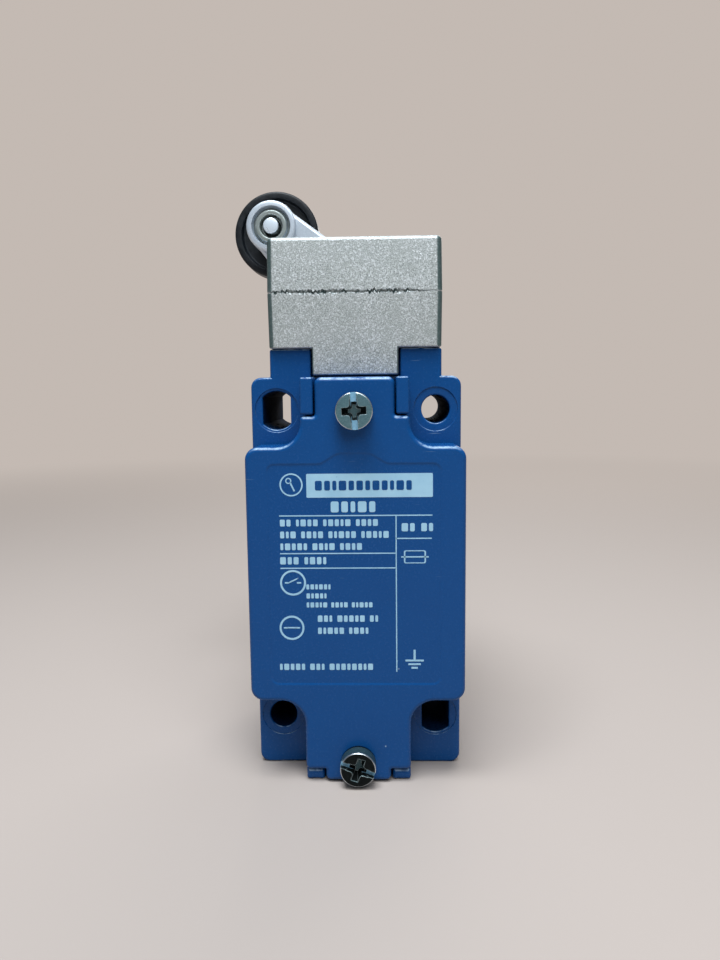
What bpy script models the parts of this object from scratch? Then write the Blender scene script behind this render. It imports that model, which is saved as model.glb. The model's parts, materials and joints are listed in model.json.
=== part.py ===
"""Fixed-body limit switch with a sprung roller lever.

The switch stands upright: +Z runs from the cable entry towards the head, the
cover faces -Y and the mounting face lies in the plane Y = 0. The origin is the
centre of the four fixing holes on the mounting face. Every dimension below is
in millimetres; the finished pieces are scaled to metres at the end.
"""
import math

import bmesh
import bpy
from mathutils import Matrix, Vector

MM = 0.001

# ---------------------------------------------------------------- fit and gaps
GAP = 0.3              # between pieces that rest on each other
RUNNING = 0.1          # radial clearance of a shaft or plunger in its guide

# ---------------------------------------------------------------- body casting
FIX_X, FIX_Z = 15.0, 30.0          # half the 30 x 60 fixing pattern
FIX_R = 2.65                       # 5.3 mm fixing holes
SLOT_R = 3.65                      # the two slotted ones are 7.3 mm long
SPOT_FACE_R, SPOT_FACE_DEPTH = 4.1, 0.2
BODY_X = 19.8
BODY_TOP, BODY_BOTTOM = 36.2, -39.9
BODY_FRONT = -30.0
BODY_CORNER_R = 1.8
BACK_WALL = 3.0
CAVITY_X, CAVITY_Z = 16.3, (-21.0, 20.6)
THROAT_X, THROAT_Z = 6.2, (-30.5, 23.5)
SEAT_X, SEAT_TOP, SEAT_BACK = 16.15, 41.4, -0.4
NOTCH = 8.4                        # half width of the notches for the head's tongues
NOTCH_IN = (3.4, 2.7, 2.6)         # how far the front, rear and side notches reach in
GROOVE_R, GROOVE_DEPTH = (6.2, 7.8), 1.2
ENTRY_R, ENTRY_Y = 9.3, -16.0      # tapped cable entry in the bottom
ENTRY_CHAMFER = (1.6, 0.8)         # how far the entry's mouth opens out, and how deep
RIB_X = (7.45, 9.75)
RIB_Z, RIB_FRONT = 29.4, -37.9
LUG_X = (6.45, 9.9)
LUG_Z, LUG_FRONT = -37.7, -37.0
HEAD_TAPPING_R, HEAD_TAPPING_FLOOR = 1.95, 34.6
COVER_TAPPING_R, COVER_TAPPING_FLOOR = 2.2, (-23.5, -26.0)
SMALL_TAPPING_R, BLOCK_TAPPING_FLOOR, EARTH_TAPPING_FLOOR = 1.7, -1.1, -4.0

# ----------------------------------------------------------------------- cover
COVER_X, COVER_Z = 20.0, (-24.0, 23.6)
COVER_FRONT, COVER_BACK = -38.0, BODY_FRONT - GAP
COVER_TONGUE_X = 9.9
COVER_SCREW_Z = (30.0, -36.0)
COVER_SCREW_HEAD = (3.35, 2.6)     # radius and height
COVER_SCREW_TURN = (87.0, 19.0)    # degrees that the top and bottom slots are turned by
COVER_SEAT_R, COVER_SEAT_DEPTH, COVER_HOLE_R = 3.2, 0.9, 2.3
COVER_SKIN = 2.2                   # thickness of the cover's front
GASKET_BAND = (0.3, 1.9)           # inner and outer offset from the cavity's outline

# ------------------------------------------------------------------------ head
HEAD_X = 16.2
HEAD_Y = (-31.3, -0.3)
HEAD_MID_Y = (HEAD_Y[0] + HEAD_Y[1]) / 2
HEAD_BOTTOM, HEAD_TOP = SEAT_TOP + GAP, 61.6
TONGUE_BOTTOM, TONGUE = 36.9, 8.1
TONGUE_DEPTH = (3.1, 2.4, 2.3)     # front, rear and side tongues, inwards from the walls
HEAD_ROOM_X, HEAD_ROOM_Y, HEAD_ROOM_TOP = 8.5, 9.8, 59.6
HEAD_SCREW_X, HEAD_SCREW_Y, HEAD_SCREW_SEAT = 12.4, 11.4, 46.0
HEAD_HOLE_R, HEAD_COUNTERBORE_R = 2.0, 2.8
SHAFT_Z = 51.5
SHAFT_R, SHAFT_CAM_R, SHAFT_NOSE_R = 5.0, 4.0, 3.0
SPIGOT_R, STUD_R = 4.6, 3.0
BOSS_R, BOSS_BACK = 9.0, 2.2
CAM_R, CAM_FLAT = 7.8, 5.4
CAM_Y = (-21.0, -11.0)

# ------------------------------------------------------------- lever and roller
LEVER_LENGTH = 28.0
LEVER_ANGLE = math.radians(45.5)   # from +Z towards -X
HUB_R, END_R = 9.9, 5.7
HUB_Y, ARM_Y = (3.6, 10.5), (4.4, 9.0)
END_FACE, END_BACK = 3.3, 12.6
PIN_R, PIN_FACE, PIN_BACK = 1.75, 3.0, 20.2
BUSH_R = 3.0
ROLLER_R = 10.1
ROLLER_Y = (13.0, 19.0)

# ----------------------------------------------- plunger train and contact block
PISTON_R, PISTON_Z = 4.9, (33.5, SHAFT_Z - CAM_R - GAP)
PISTON_GROOVE_R, PISTON_GROOVE_Z = 4.2, (35.2, 37.0)
ROD_SOCKET_R, ROD_SOCKET_TOP = 2.1, 39.0
BORE_FLOOR = 27.5
PUSHROD_R, PUSHROD_Z = 1.8, (22.1, 38.7)
BLOCK_X, BLOCK_Y, BLOCK_Z = 14.5, (-24.0, -BACK_WALL - GAP), (-18.0, 18.5)
CHAMBER_X, CHAMBER_BACK, CHAMBER_Z = 9.5, -7.5, (-14.0, 13.0)
STEM_R, NECK_R, STEM_TOP = 2.2, 1.2, 21.8
BRIDGE_T, BRIDGE_HALF = 0.8, (8.0, 2.0)
NC_BRIDGE_Z, NO_BRIDGE_Z = 7.4, -4.6
NC_STRIP_Z, NO_STRIP_Z = 9.0, -8.6
TERMINAL_X = 12.0
BLOCK_SCREW_Z = 0.6
EARTH_X, EARTH_Z, EARTH_POST, EARTH_POST_R = -4.0, -25.5, -10.0, 3.0

# ------------------------------------------------------------- facets round a circle
SHOWN, PLAIN, SMALL = 28, 18, 10   # outside rounds, other rounds, screws and tappings

# Blender axes used for turned pieces
ALONG_X, ALONG_Y, ALONG_Z = Vector((1, 0, 0)), Vector((0, 1, 0)), Vector((0, 0, 1))


def lever_point(distance):
    """Point of the lever's centre line, in the XZ plane."""
    return (-distance * math.sin(LEVER_ANGLE), SHAFT_Z + distance * math.cos(LEVER_ANGLE))


# ----------------------------------------------------------------- build helpers
def clear_scene():
    for old in list(bpy.data.objects):
        bpy.data.objects.remove(old, do_unlink=True)


def material(name, colour, metallic, roughness):
    made = bpy.data.materials.new(name)
    made.use_nodes = True
    shader = made.node_tree.nodes["Principled BSDF"]
    shader.inputs["Base Color"].default_value = (*colour, 1.0)
    shader.inputs["Metallic"].default_value = metallic
    shader.inputs["Roughness"].default_value = roughness
    return made


def finish_mesh(name, bm, finish=None):
    bmesh.ops.recalc_face_normals(bm, faces=bm.faces)
    mesh = bpy.data.meshes.new(name)
    bm.to_mesh(mesh)
    bm.free()
    if finish:
        mesh.materials.append(finish)
    made = bpy.data.objects.new(name, mesh)
    bpy.context.scene.collection.objects.link(made)
    return made


def box(name, x, y, z, finish=None):
    bm = bmesh.new()
    bmesh.ops.create_cube(bm, size=1.0)
    size = Vector((x[1] - x[0], y[1] - y[0], z[1] - z[0]))
    middle = Vector((sum(x), sum(y), sum(z))) / 2
    bmesh.ops.scale(bm, vec=size, verts=bm.verts)
    bmesh.ops.translate(bm, vec=middle, verts=bm.verts)
    return finish_mesh(name, bm, finish)


def prism(name, outline, span, axis="Y", finish=None):
    """Extrude an (x, z) outline along Y, or an (x, y) outline along Z."""
    bm = bmesh.new()
    place = (lambda a, b, t: (a, t, b)) if axis == "Y" else (lambda a, b, t: (a, b, t))
    ends = [[bm.verts.new(place(a, b, t)) for a, b in outline] for t in span]
    bm.faces.new(ends[0])
    bm.faces.new(ends[1])
    count = len(outline)
    for i in range(count):
        j = (i + 1) % count
        bm.faces.new((ends[0][i], ends[0][j], ends[1][j], ends[1][i]))
    return finish_mesh(name, bm, finish)


def turned(name, profile, centre=(0, 0, 0), axis=ALONG_Y, segments=PLAIN, finish=None):
    """Turn a closed (radius, distance along the axis) profile about an axis."""
    side = ALONG_X if axis != ALONG_X else ALONG_Y
    other = axis.cross(side)
    centre = Vector(centre)
    bm = bmesh.new()
    rings = []
    for radius, along in profile:
        foot = centre + axis * along
        if radius == 0:
            rings.append([bm.verts.new(foot)] * segments)
            continue
        turns = [2 * math.pi * (i + 0.5) / segments for i in range(segments)]
        rings.append([bm.verts.new(foot + (side * math.cos(t) + other * math.sin(t)) * radius)
                      for t in turns])
    solid = profile[0][0] == 0
    for k in range(len(rings) - (1 if solid else 0)):
        lower, upper = rings[k], rings[(k + 1) % len(rings)]
        for i in range(segments):
            j = (i + 1) % segments
            corners = []
            for vert in (lower[i], lower[j], upper[j], upper[i]):
                if vert not in corners:
                    corners.append(vert)
            bm.faces.new(corners)
    return finish_mesh(name, bm, finish)


def cylinder(name, radius, span, centre, axis=ALONG_Y, segments=PLAIN, finish=None):
    profile = [(0, span[0]), (radius, span[0]), (radius, span[1]), (0, span[1])]
    return turned(name, profile, centre, axis, segments, finish)


def stepped_hole(name, steps, centre, axis=ALONG_Y, segments=PLAIN):
    """Cutter for a stepped hole; steps lists (radius, start, end) one after another."""
    profile = [(0, steps[0][1])]
    for radius, start, end in steps:
        profile += [(radius, start), (radius, end)]
    return turned(name, profile + [(0, steps[-1][2])], centre, axis, segments)


def ring(name, inner, outer, span, centre, axis=ALONG_Y, segments=PLAIN, finish=None):
    profile = [(inner, span[0]), (outer, span[0]), (outer, span[1]), (inner, span[1])]
    return turned(name, profile, centre, axis, segments, finish)


def combine(target, tools, operation):
    """Boolean each tool into the target, keep the result and drop the tool."""
    for tool in tools:
        modifier = target.modifiers.new("combine", "BOOLEAN")
        modifier.operation = operation
        modifier.object = tool
        evaluated = target.evaluated_get(bpy.context.evaluated_depsgraph_get())
        mesh = bpy.data.meshes.new_from_object(evaluated)
        target.modifiers.clear()
        target.data = mesh
        bpy.data.objects.remove(tool, do_unlink=True)
    return target


def cut(target, *tools):
    return combine(target, tools, "DIFFERENCE")


def join(target, *tools):
    return combine(target, tools, "UNION")


def smooth(made, degrees=35):
    made.data.shade_smooth()
    made.data.set_sharp_from_angle(angle=math.radians(degrees))
    return made


def set_origin(made, point):
    """Move an object's origin to a point without moving its shape."""
    offset = Vector(point)
    made.data.transform(Matrix.Translation(-offset))
    made.location = offset
    return made


def to_metres():
    for made in bpy.data.objects:
        made.data.transform(Matrix.Scale(MM, 4))
        made.location *= MM


def rounded(corners, steps=4):
    """Outline from (a, b, radius) corners, each round turned into an arc."""
    outline = []
    for i, (a, b, radius) in enumerate(corners):
        point = Vector((a, b))
        if radius == 0:
            outline.append((a, b))
            continue
        before = (Vector(corners[i - 1][:2]) - point).normalized()
        after = (Vector(corners[(i + 1) % len(corners)][:2]) - point).normalized()
        half = before.angle(after) / 2
        centre = point + (before + after).normalized() * radius / math.sin(half)
        start = point + before * radius / math.tan(half) - centre
        end = point + after * radius / math.tan(half) - centre
        sweep = math.atan2(start.x * end.y - start.y * end.x, start.dot(end))
        for k in range(steps + 1):
            turn = sweep * k / steps
            outline.append((centre.x + start.x * math.cos(turn) - start.y * math.sin(turn),
                            centre.y + start.x * math.sin(turn) + start.y * math.cos(turn)))
    return outline


def mirrored(right_side):
    """Whole outline from its right-hand corners, listed from top to bottom."""
    return right_side + [(-a, b, radius) for a, b, radius in reversed(right_side)]


def arc(centre, radius, start, end, steps):
    return [(centre[0] + radius * math.cos(start + (end - start) * k / steps),
             centre[1] + radius * math.sin(start + (end - start) * k / steps))
            for k in range(steps + 1)]


def aim(tool, point, axis, turn=0.0):
    """Set a tool that was built about the origin and +Z on a point, facing along an axis."""
    facing = axis.to_track_quat("Z", "Y").to_matrix().to_4x4()
    tool.data.transform(Matrix.Translation(Vector(point)) @ facing
                        @ Matrix.Rotation(turn, 4, "Z"))
    return tool


def screw(name, seat, axis, head, shank, slot, finish, segments=SMALL, turn=0.0):
    """Cheese-head screw. head and shank are (radius, length), slot is (width, depth).

    axis points from the head into the work and seat is the underside of the head.
    """
    head_r, head_l = head
    shank_r, shank_l = shank
    edge = 0.12 * head_l
    profile = [(0, -head_l), (head_r - edge, -head_l), (head_r, -head_l + edge), (head_r, 0),
               (shank_r, 0), (shank_r, shank_l - 0.5), (shank_r - 0.4, shank_l), (0, shank_l)]
    made = turned(name, profile, seat, axis, segments, finish)
    width, depth = slot
    top = Vector(seat) - axis * head_l
    reach = head_r + 1
    tool = box("slot_cut", (-reach, reach), (-width / 2, width / 2), (-1, depth))
    return smooth(cut(made, aim(tool, top, axis, turn)))


def coil(name, centre, span, radius, wire, turns, finish, per_turn=10, sides=4):
    """Compression spring of round wire about a vertical axis."""
    bm = bmesh.new()
    count = int(turns * per_turn)
    rise = (span[1] - span[0] - 2 * wire) / count
    sections = []
    for i in range(count + 1):
        turn = 2 * math.pi * i / per_turn
        out = Vector((math.cos(turn), math.sin(turn), 0))
        middle = Vector((centre[0], centre[1], span[0] + wire + rise * i)) + out * radius
        angles = [2 * math.pi * s / sides for s in range(sides)]
        sections.append([bm.verts.new(middle + out * wire * math.cos(a)
                                      + ALONG_Z * wire * math.sin(a)) for a in angles])
    for lower, upper in zip(sections, sections[1:]):
        for s in range(sides):
            t = (s + 1) % sides
            bm.faces.new((lower[s], lower[t], upper[t], upper[s]))
    bm.faces.new(sections[0])
    bm.faces.new(sections[-1])
    return smooth(finish_mesh(name, bm, finish), 60)


# ------------------------------------------------------------------------ finishes
clear_scene()
PAINT = material("blue_paint", (0.012, 0.060, 0.185), 0.0, 0.38)
BLASTED = material("blasted_zinc", (0.36, 0.37, 0.35), 0.85, 0.55)
CAST = material("bright_zinc", (0.55, 0.57, 0.58), 0.95, 0.32)
STEEL = material("zinc_plated_steel", (0.50, 0.52, 0.50), 1.0, 0.30)
DARK_STEEL = material("dull_steel", (0.16, 0.17, 0.14), 0.9, 0.42)
BRASS = material("brass", (0.60, 0.42, 0.16), 1.0, 0.30)
SILVER = material("contact_silver", (0.75, 0.72, 0.66), 1.0, 0.25)
ROLLER_PLASTIC = material("black_plastic", (0.010, 0.011, 0.014), 0.0, 0.45)
BLOCK_PLASTIC = material("block_plastic", (0.60, 0.60, 0.56), 0.0, 0.50)
PLUNGER_PLASTIC = material("plunger_plastic", (0.72, 0.70, 0.62), 0.0, 0.45)
SEAL_RUBBER = material("seal_rubber", (0.015, 0.015, 0.015), 0.0, 0.70)


# -------------------------------------------------------------------- body casting
def cavity_outline(offset):
    """Mouth of the wiring space, grown by an offset; the gasket follows it."""
    throat, wide = THROAT_X + offset, CAVITY_X + offset
    right = [(throat, THROAT_Z[1] + offset, 1.0), (throat, CAVITY_Z[1] + offset, 0.8),
             (wide, CAVITY_Z[1] + offset, 1.5), (wide, CAVITY_Z[0] - offset, 1.5),
             (throat, CAVITY_Z[0] - offset, 0.8), (throat, THROAT_Z[0] - offset, 1.0)]
    return rounded(mirrored(right), steps=3)


def slot_outline(x, z):
    """A 7.3 mm circle with flats 5.3 mm apart on its left and right."""
    limit = math.acos(FIX_R / SLOT_R)
    return (arc((x, z), SLOT_R, limit, math.pi - limit, 5)
            + arc((x, z), SLOT_R, math.pi + limit, 2 * math.pi - limit, 5))


def build_body():
    right = [(BODY_X, BODY_TOP, BODY_CORNER_R), (BODY_X, BODY_BOTTOM, BODY_CORNER_R)]
    body = prism("body_casting", rounded(mirrored(right)), (BODY_FRONT, 0), finish=PAINT)
    join(body, box("seat", (-SEAT_X, SEAT_X), (BODY_FRONT, SEAT_BACK),
                   (BODY_TOP - 2, SEAT_TOP)))
    for side in (-1, 1):
        rib = sorted(side * x for x in RIB_X)
        lug = sorted(side * x for x in LUG_X)
        join(body, box("rib", rib, (RIB_FRONT, BODY_FRONT + 1), (RIB_Z, BODY_TOP - 0.2)),
             box("lug", lug, (LUG_FRONT, BODY_FRONT + 1), (BODY_BOTTOM, LUG_Z)))
    # notches on all four sides let the head be fitted in four positions
    reach = 30.0
    cut(body,
        box("notch_front", (-NOTCH, NOTCH), (-reach - 5, HEAD_Y[0] + NOTCH_IN[0]),
            (BODY_TOP, reach * 2)),
        box("notch_rear", (-NOTCH, NOTCH), (HEAD_Y[1] - NOTCH_IN[1], 5), (BODY_TOP, reach * 2)))
    for side in (-1, 1):
        x = sorted((side * (HEAD_X - NOTCH_IN[2]), side * reach))
        cut(body, box("notch_side", x, (HEAD_MID_Y - NOTCH, HEAD_MID_Y + NOTCH),
                      (BODY_TOP, reach * 2)))
    # wiring space and cable entry
    cut(body, prism("cavity", cavity_outline(0), (BODY_FRONT - 1, -BACK_WALL)))
    flare, depth = ENTRY_CHAMFER
    entry = [(0, BODY_BOTTOM - 1), (ENTRY_R + flare, BODY_BOTTOM - 1),
             (ENTRY_R, BODY_BOTTOM + depth), (ENTRY_R, CAVITY_Z[0] + 1), (0, CAVITY_Z[0] + 1)]
    cut(body, turned("entry", entry, (0, ENTRY_Y, 0), ALONG_Z, SHOWN))
    # fixing holes, slotted at the upper left and lower right, each in a spot face
    for x, z, slotted in ((-FIX_X, FIX_Z, True), (FIX_X, FIX_Z, False),
                          (FIX_X, -FIX_Z, True), (-FIX_X, -FIX_Z, False)):
        face = BODY_FRONT + SPOT_FACE_DEPTH
        if slotted:
            cut(body, cylinder("spot_face", SPOT_FACE_R, (BODY_FRONT - 1, face), (x, 0, z)),
                prism("fixing_slot", slot_outline(x, z), (BODY_FRONT - 2, 2)))
        else:
            steps = [(SPOT_FACE_R, BODY_FRONT - 1, face), (FIX_R, face, 2)]
            cut(body, stepped_hole("fixing_hole", steps, (x, 0, z), segments=SHOWN - 4))
    # plunger bore, gasket groove and the threads that hold head, cover and block
    mid = (0, HEAD_MID_Y, 0)
    bore = [(PUSHROD_R + RUNNING, THROAT_Z[1] - 1, BORE_FLOOR),
            (PISTON_R + 0.4, BORE_FLOOR, SEAT_TOP + 1)]
    cut(body, stepped_hole("bore", bore, mid, ALONG_Z),
        ring("groove", *GROOVE_R, (SEAT_TOP - GROOVE_DEPTH, SEAT_TOP + 1), mid, ALONG_Z))
    for x in (-HEAD_SCREW_X, HEAD_SCREW_X):
        for y in (-HEAD_SCREW_Y, HEAD_SCREW_Y):
            cut(body, cylinder("tapping", HEAD_TAPPING_R, (HEAD_TAPPING_FLOOR, SEAT_TOP + 1),
                               (x, HEAD_MID_Y + y, 0), ALONG_Z, SMALL))
        cut(body, cylinder("tapping", SMALL_TAPPING_R, (-BACK_WALL - 1, BLOCK_TAPPING_FLOOR),
                           (math.copysign(TERMINAL_X, x), 0, BLOCK_SCREW_Z), segments=SMALL))
    for z, floor in zip(COVER_SCREW_Z, COVER_TAPPING_FLOOR):
        cut(body, cylinder("tapping", COVER_TAPPING_R, (BODY_FRONT - 1, floor), (0, 0, z),
                           segments=SMALL))
    earth = (EARTH_X, 0, EARTH_Z)
    join(body, cylinder("earth_post", EARTH_POST_R, (EARTH_POST, -2), earth, segments=SMALL))
    cut(body, cylinder("tapping", SMALL_TAPPING_R, (EARTH_POST - 1, EARTH_TAPPING_FLOOR), earth,
                       segments=SMALL))
    return smooth(body)


# ----------------------------------------------------------------------- front cover
def build_cover():
    right = [(RIB_X[0] - GAP, 36.0, 0.8), (RIB_X[0] - GAP, RIB_Z - GAP, 0.5),
             (COVER_TONGUE_X, RIB_Z - GAP, 0.5), (COVER_TONGUE_X, COVER_Z[1], 5.0),
             (COVER_X, COVER_Z[1], 2.0), (COVER_X, COVER_Z[0], 2.0),
             (COVER_TONGUE_X, COVER_Z[0], 5.0), (COVER_TONGUE_X, LUG_Z + GAP, 0.6),
             (LUG_X[0] - GAP, LUG_Z + GAP, 0.4), (LUG_X[0] - GAP, BODY_BOTTOM + GAP, 0.8)]
    cover = prism("cover", rounded(mirrored(right)), (COVER_FRONT, COVER_BACK), finish=PAINT)
    cut(cover, prism("hollow", cavity_outline(-0.8), (COVER_FRONT + COVER_SKIN, COVER_BACK + 1)),
        prism("gasket_step", cavity_outline(GASKET_BAND[1] + GAP),
              (COVER_BACK - 1.6, COVER_BACK + 1)))
    for z in COVER_SCREW_Z:
        seat = COVER_FRONT + COVER_SEAT_DEPTH
        steps = [(COVER_SEAT_R, COVER_FRONT - 1, seat), (COVER_HOLE_R, seat, COVER_BACK + 1)]
        cut(cover, stepped_hole("screw_hole", steps, (0, 0, z)))
    return smooth(cover)


def build_cover_fittings():
    inner, outer = GASKET_BAND
    span = (COVER_BACK - 1.3, COVER_BACK)
    gasket = prism("cover_gasket", cavity_outline(outer), span, finish=SEAL_RUBBER)
    smooth(cut(gasket, prism("gasket_mouth", cavity_outline(inner), (span[0] - 1, span[1] + 1))))
    for label, z, length, degrees in (("top", COVER_SCREW_Z[0], 13.8, COVER_SCREW_TURN[0]),
                                      ("bottom", COVER_SCREW_Z[1], 11.6, COVER_SCREW_TURN[1])):
        turn = math.radians(degrees)
        seat = Vector((0, COVER_FRONT - GAP, z))
        made = screw(f"cover_screw_{label}", seat, ALONG_Y, COVER_SCREW_HEAD, (1.9, length),
                     (1.1, 1.1), DARK_STEEL, SHOWN - 4, turn)
        top = seat - ALONG_Y * COVER_SCREW_HEAD[1]
        for half_x, half_y in ((2.15, 0.48), (0.51, 2.2)):
            tool = box("cross", (-half_x, half_x), (-half_y, half_y), (-1, 1.6))
            cut(made, aim(tool, top, ALONG_Y, turn))
        smooth(ring(f"screw_seal_{label}", 2.15, 2.95, (COVER_FRONT, COVER_FRONT + 0.6),
                    (0, 0, z), finish=SEAL_RUBBER))


# ------------------------------------------------------------------------------ head
def build_head():
    head = box("head_casting", (-HEAD_X, HEAD_X), HEAD_Y, (TONGUE_BOTTOM, HEAD_TOP), BLASTED)
    front, rear, side = TONGUE_DEPTH
    cut(head, box("seat", (-HEAD_X + side, HEAD_X - side), (HEAD_Y[0] + front, HEAD_Y[1] - rear),
                  (TONGUE_BOTTOM - 1, HEAD_BOTTOM)))
    for sx in (-1, 1):
        for sy in (-1, 1):
            x = sorted((sx * TONGUE, sx * (HEAD_X + 1)))
            y = sorted((HEAD_MID_Y + sy * TONGUE, HEAD_MID_Y + sy * (HEAD_X + 1)))
            cut(head, box("corner", x, y, (TONGUE_BOTTOM - 1, HEAD_BOTTOM)))
    join(head, cylinder("boss", BOSS_R, (HEAD_Y[1] - 1, BOSS_BACK), (0, 0, SHAFT_Z),
                        segments=SHOWN))
    axis = (0, 0, SHAFT_Z)
    room_y = (HEAD_MID_Y - HEAD_ROOM_Y, HEAD_MID_Y + HEAD_ROOM_Y)
    cut(head, box("room", (-HEAD_ROOM_X, HEAD_ROOM_X), room_y, (TONGUE_BOTTOM - 2, HEAD_ROOM_TOP)),
        cylinder("nose_bore", SHAFT_NOSE_R + RUNNING, (-28.5, room_y[0] + 1), axis),
        stepped_hole("shaft_bore", [(7.0, room_y[1] - 1, -0.6), (8.0, -0.6, BOSS_BACK + 1)],
                     axis, segments=SHOWN))
    for x in (-HEAD_SCREW_X, HEAD_SCREW_X):
        for y in (-HEAD_SCREW_Y, HEAD_SCREW_Y):
            steps = [(HEAD_HOLE_R, HEAD_BOTTOM - 1, HEAD_SCREW_SEAT),
                     (HEAD_COUNTERBORE_R, HEAD_SCREW_SEAT, HEAD_TOP + 1)]
            cut(head, stepped_hole("counterbore", steps, (x, HEAD_MID_Y + y, 0), ALONG_Z))
    return smooth(head)


def build_head_fittings():
    mid = (0, HEAD_MID_Y, 0)
    smooth(ring("head_gasket", 6.45, 7.55, (SEAT_TOP - 0.9, SEAT_TOP), mid, ALONG_Z,
                finish=SEAL_RUBBER))
    for label, sx, sy in (("front_left", -1, -1), ("front_right", 1, -1),
                          ("rear_left", -1, 1), ("rear_right", 1, 1)):
        seat = (sx * HEAD_SCREW_X, HEAD_MID_Y + sy * HEAD_SCREW_Y, HEAD_SCREW_SEAT + GAP)
        screw(f"head_screw_{label}", seat, -ALONG_Z, (2.45, 2.4), (1.65, 11.1), (0.9, 1.0),
              STEEL, SMALL + 4)
    guide = box("plunger_guide", (-HEAD_ROOM_X + GAP, HEAD_ROOM_X - GAP),
                (HEAD_MID_Y - HEAD_ROOM_Y + GAP, HEAD_MID_Y + HEAD_ROOM_Y - GAP),
                (HEAD_BOTTOM, HEAD_BOTTOM + 1.4), PLUNGER_PLASTIC)
    smooth(cut(guide, cylinder("guide_hole", PISTON_R + RUNNING, (HEAD_BOTTOM - 1, HEAD_TOP),
                               mid, ALONG_Z)))
    axis = (0, 0, SHAFT_Z)
    bore = SHAFT_R + RUNNING
    bush = [(bore, -7.1), (8.0, -7.1), (8.0, -6.3), (6.7, -6.3), (6.7, -0.9), (bore, -0.9)]
    smooth(turned("shaft_bush", bush, axis, finish=BRASS))
    seal = [(bore, -0.2), (7.7, -0.2), (7.7, 1.9), (6.4, 1.9), (5.9, 0.9), (5.5, 1.9), (bore, 1.5)]
    smooth(turned("shaft_seal", seal, axis, finish=SEAL_RUBBER))


# -------------------------------------------------------- shaft, cam, lever and roller
def build_shaft_and_cam():
    axis = (0, 0, SHAFT_Z)
    steps = [(0, -28.2), (SHAFT_NOSE_R, -28.2), (SHAFT_NOSE_R, -25.3), (SHAFT_CAM_R, -25.1),
             (SHAFT_CAM_R, -7.6), (SHAFT_R, -7.4), (SHAFT_R, 2.6), (SPIGOT_R, 2.9),
             (SPIGOT_R, 10.6), (STUD_R, 10.6), (STUD_R, 18.2), (STUD_R - 0.5, 18.7), (0, 18.7)]
    shaft = smooth(turned("shaft", steps, axis, finish=STEEL))
    flat = math.asin(CAM_FLAT / CAM_R)
    top = math.asin(6.6 / CAM_R)
    outline = (arc((0, SHAFT_Z), CAM_R, -flat, top, 8)
               + arc((0, SHAFT_Z), CAM_R, math.pi - top, math.pi + flat, 8))
    cam = prism("cam", outline, CAM_Y, finish=STEEL)
    cut(cam, cylinder("cam_bore", SHAFT_CAM_R + GAP, (CAM_Y[0] - 1, CAM_Y[1] + 1), axis,
                      segments=PLAIN))
    return [shaft, smooth(cam)]


def tapered_arm(end_distance, hub_r, end_r, start_distance=0.0):
    """Outline of two circles on the lever's centre line and their common tangents."""
    hub, end = lever_point(start_distance), lever_point(end_distance)
    heading = math.atan2(end[1] - hub[1], end[0] - hub[0])
    spread = math.acos((hub_r - end_r) / (end_distance - start_distance))
    return (arc(end, end_r, heading - spread, heading + spread, 8)
            + arc(hub, hub_r, heading + spread, heading + 2 * math.pi - spread, 12))


def build_lever():
    hub = (0, 0, SHAFT_Z)
    end_x, end_z = lever_point(LEVER_LENGTH)
    end = (end_x, 0, end_z)
    lever = prism("lever", tapered_arm(LEVER_LENGTH, HUB_R - 0.4, END_R - 0.3), ARM_Y,
                  finish=CAST)
    end_shape = [(0, END_FACE), (END_R - 0.4, END_FACE), (END_R, END_FACE + 0.4),
                 (END_R, ARM_Y[1]), (4.2, ARM_Y[1] + 0.6), (4.0, END_BACK), (0, END_BACK)]
    join(lever, cylinder("hub", HUB_R, HUB_Y, hub, segments=SHOWN),
         turned("end", end_shape, end, segments=SHOWN))
    cut(lever, prism("pocket", tapered_arm(18.6, 4.6, 3.2, 13.4), (ARM_Y[1] - 1.6, ARM_Y[1] + 3)),
        cylinder("spigot_bore", SPIGOT_R + GAP, (0, 15), hub),
        ring("end_groove", 3.9, 4.6, (END_FACE - 1, END_FACE + 1.3), end),
        ring("pin_groove", 1.2, 2.5, (END_FACE - 1, END_FACE + 0.9), end),
        cylinder("pin_hole", PIN_R + GAP, (0, 15), end))
    return smooth(lever)


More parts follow.
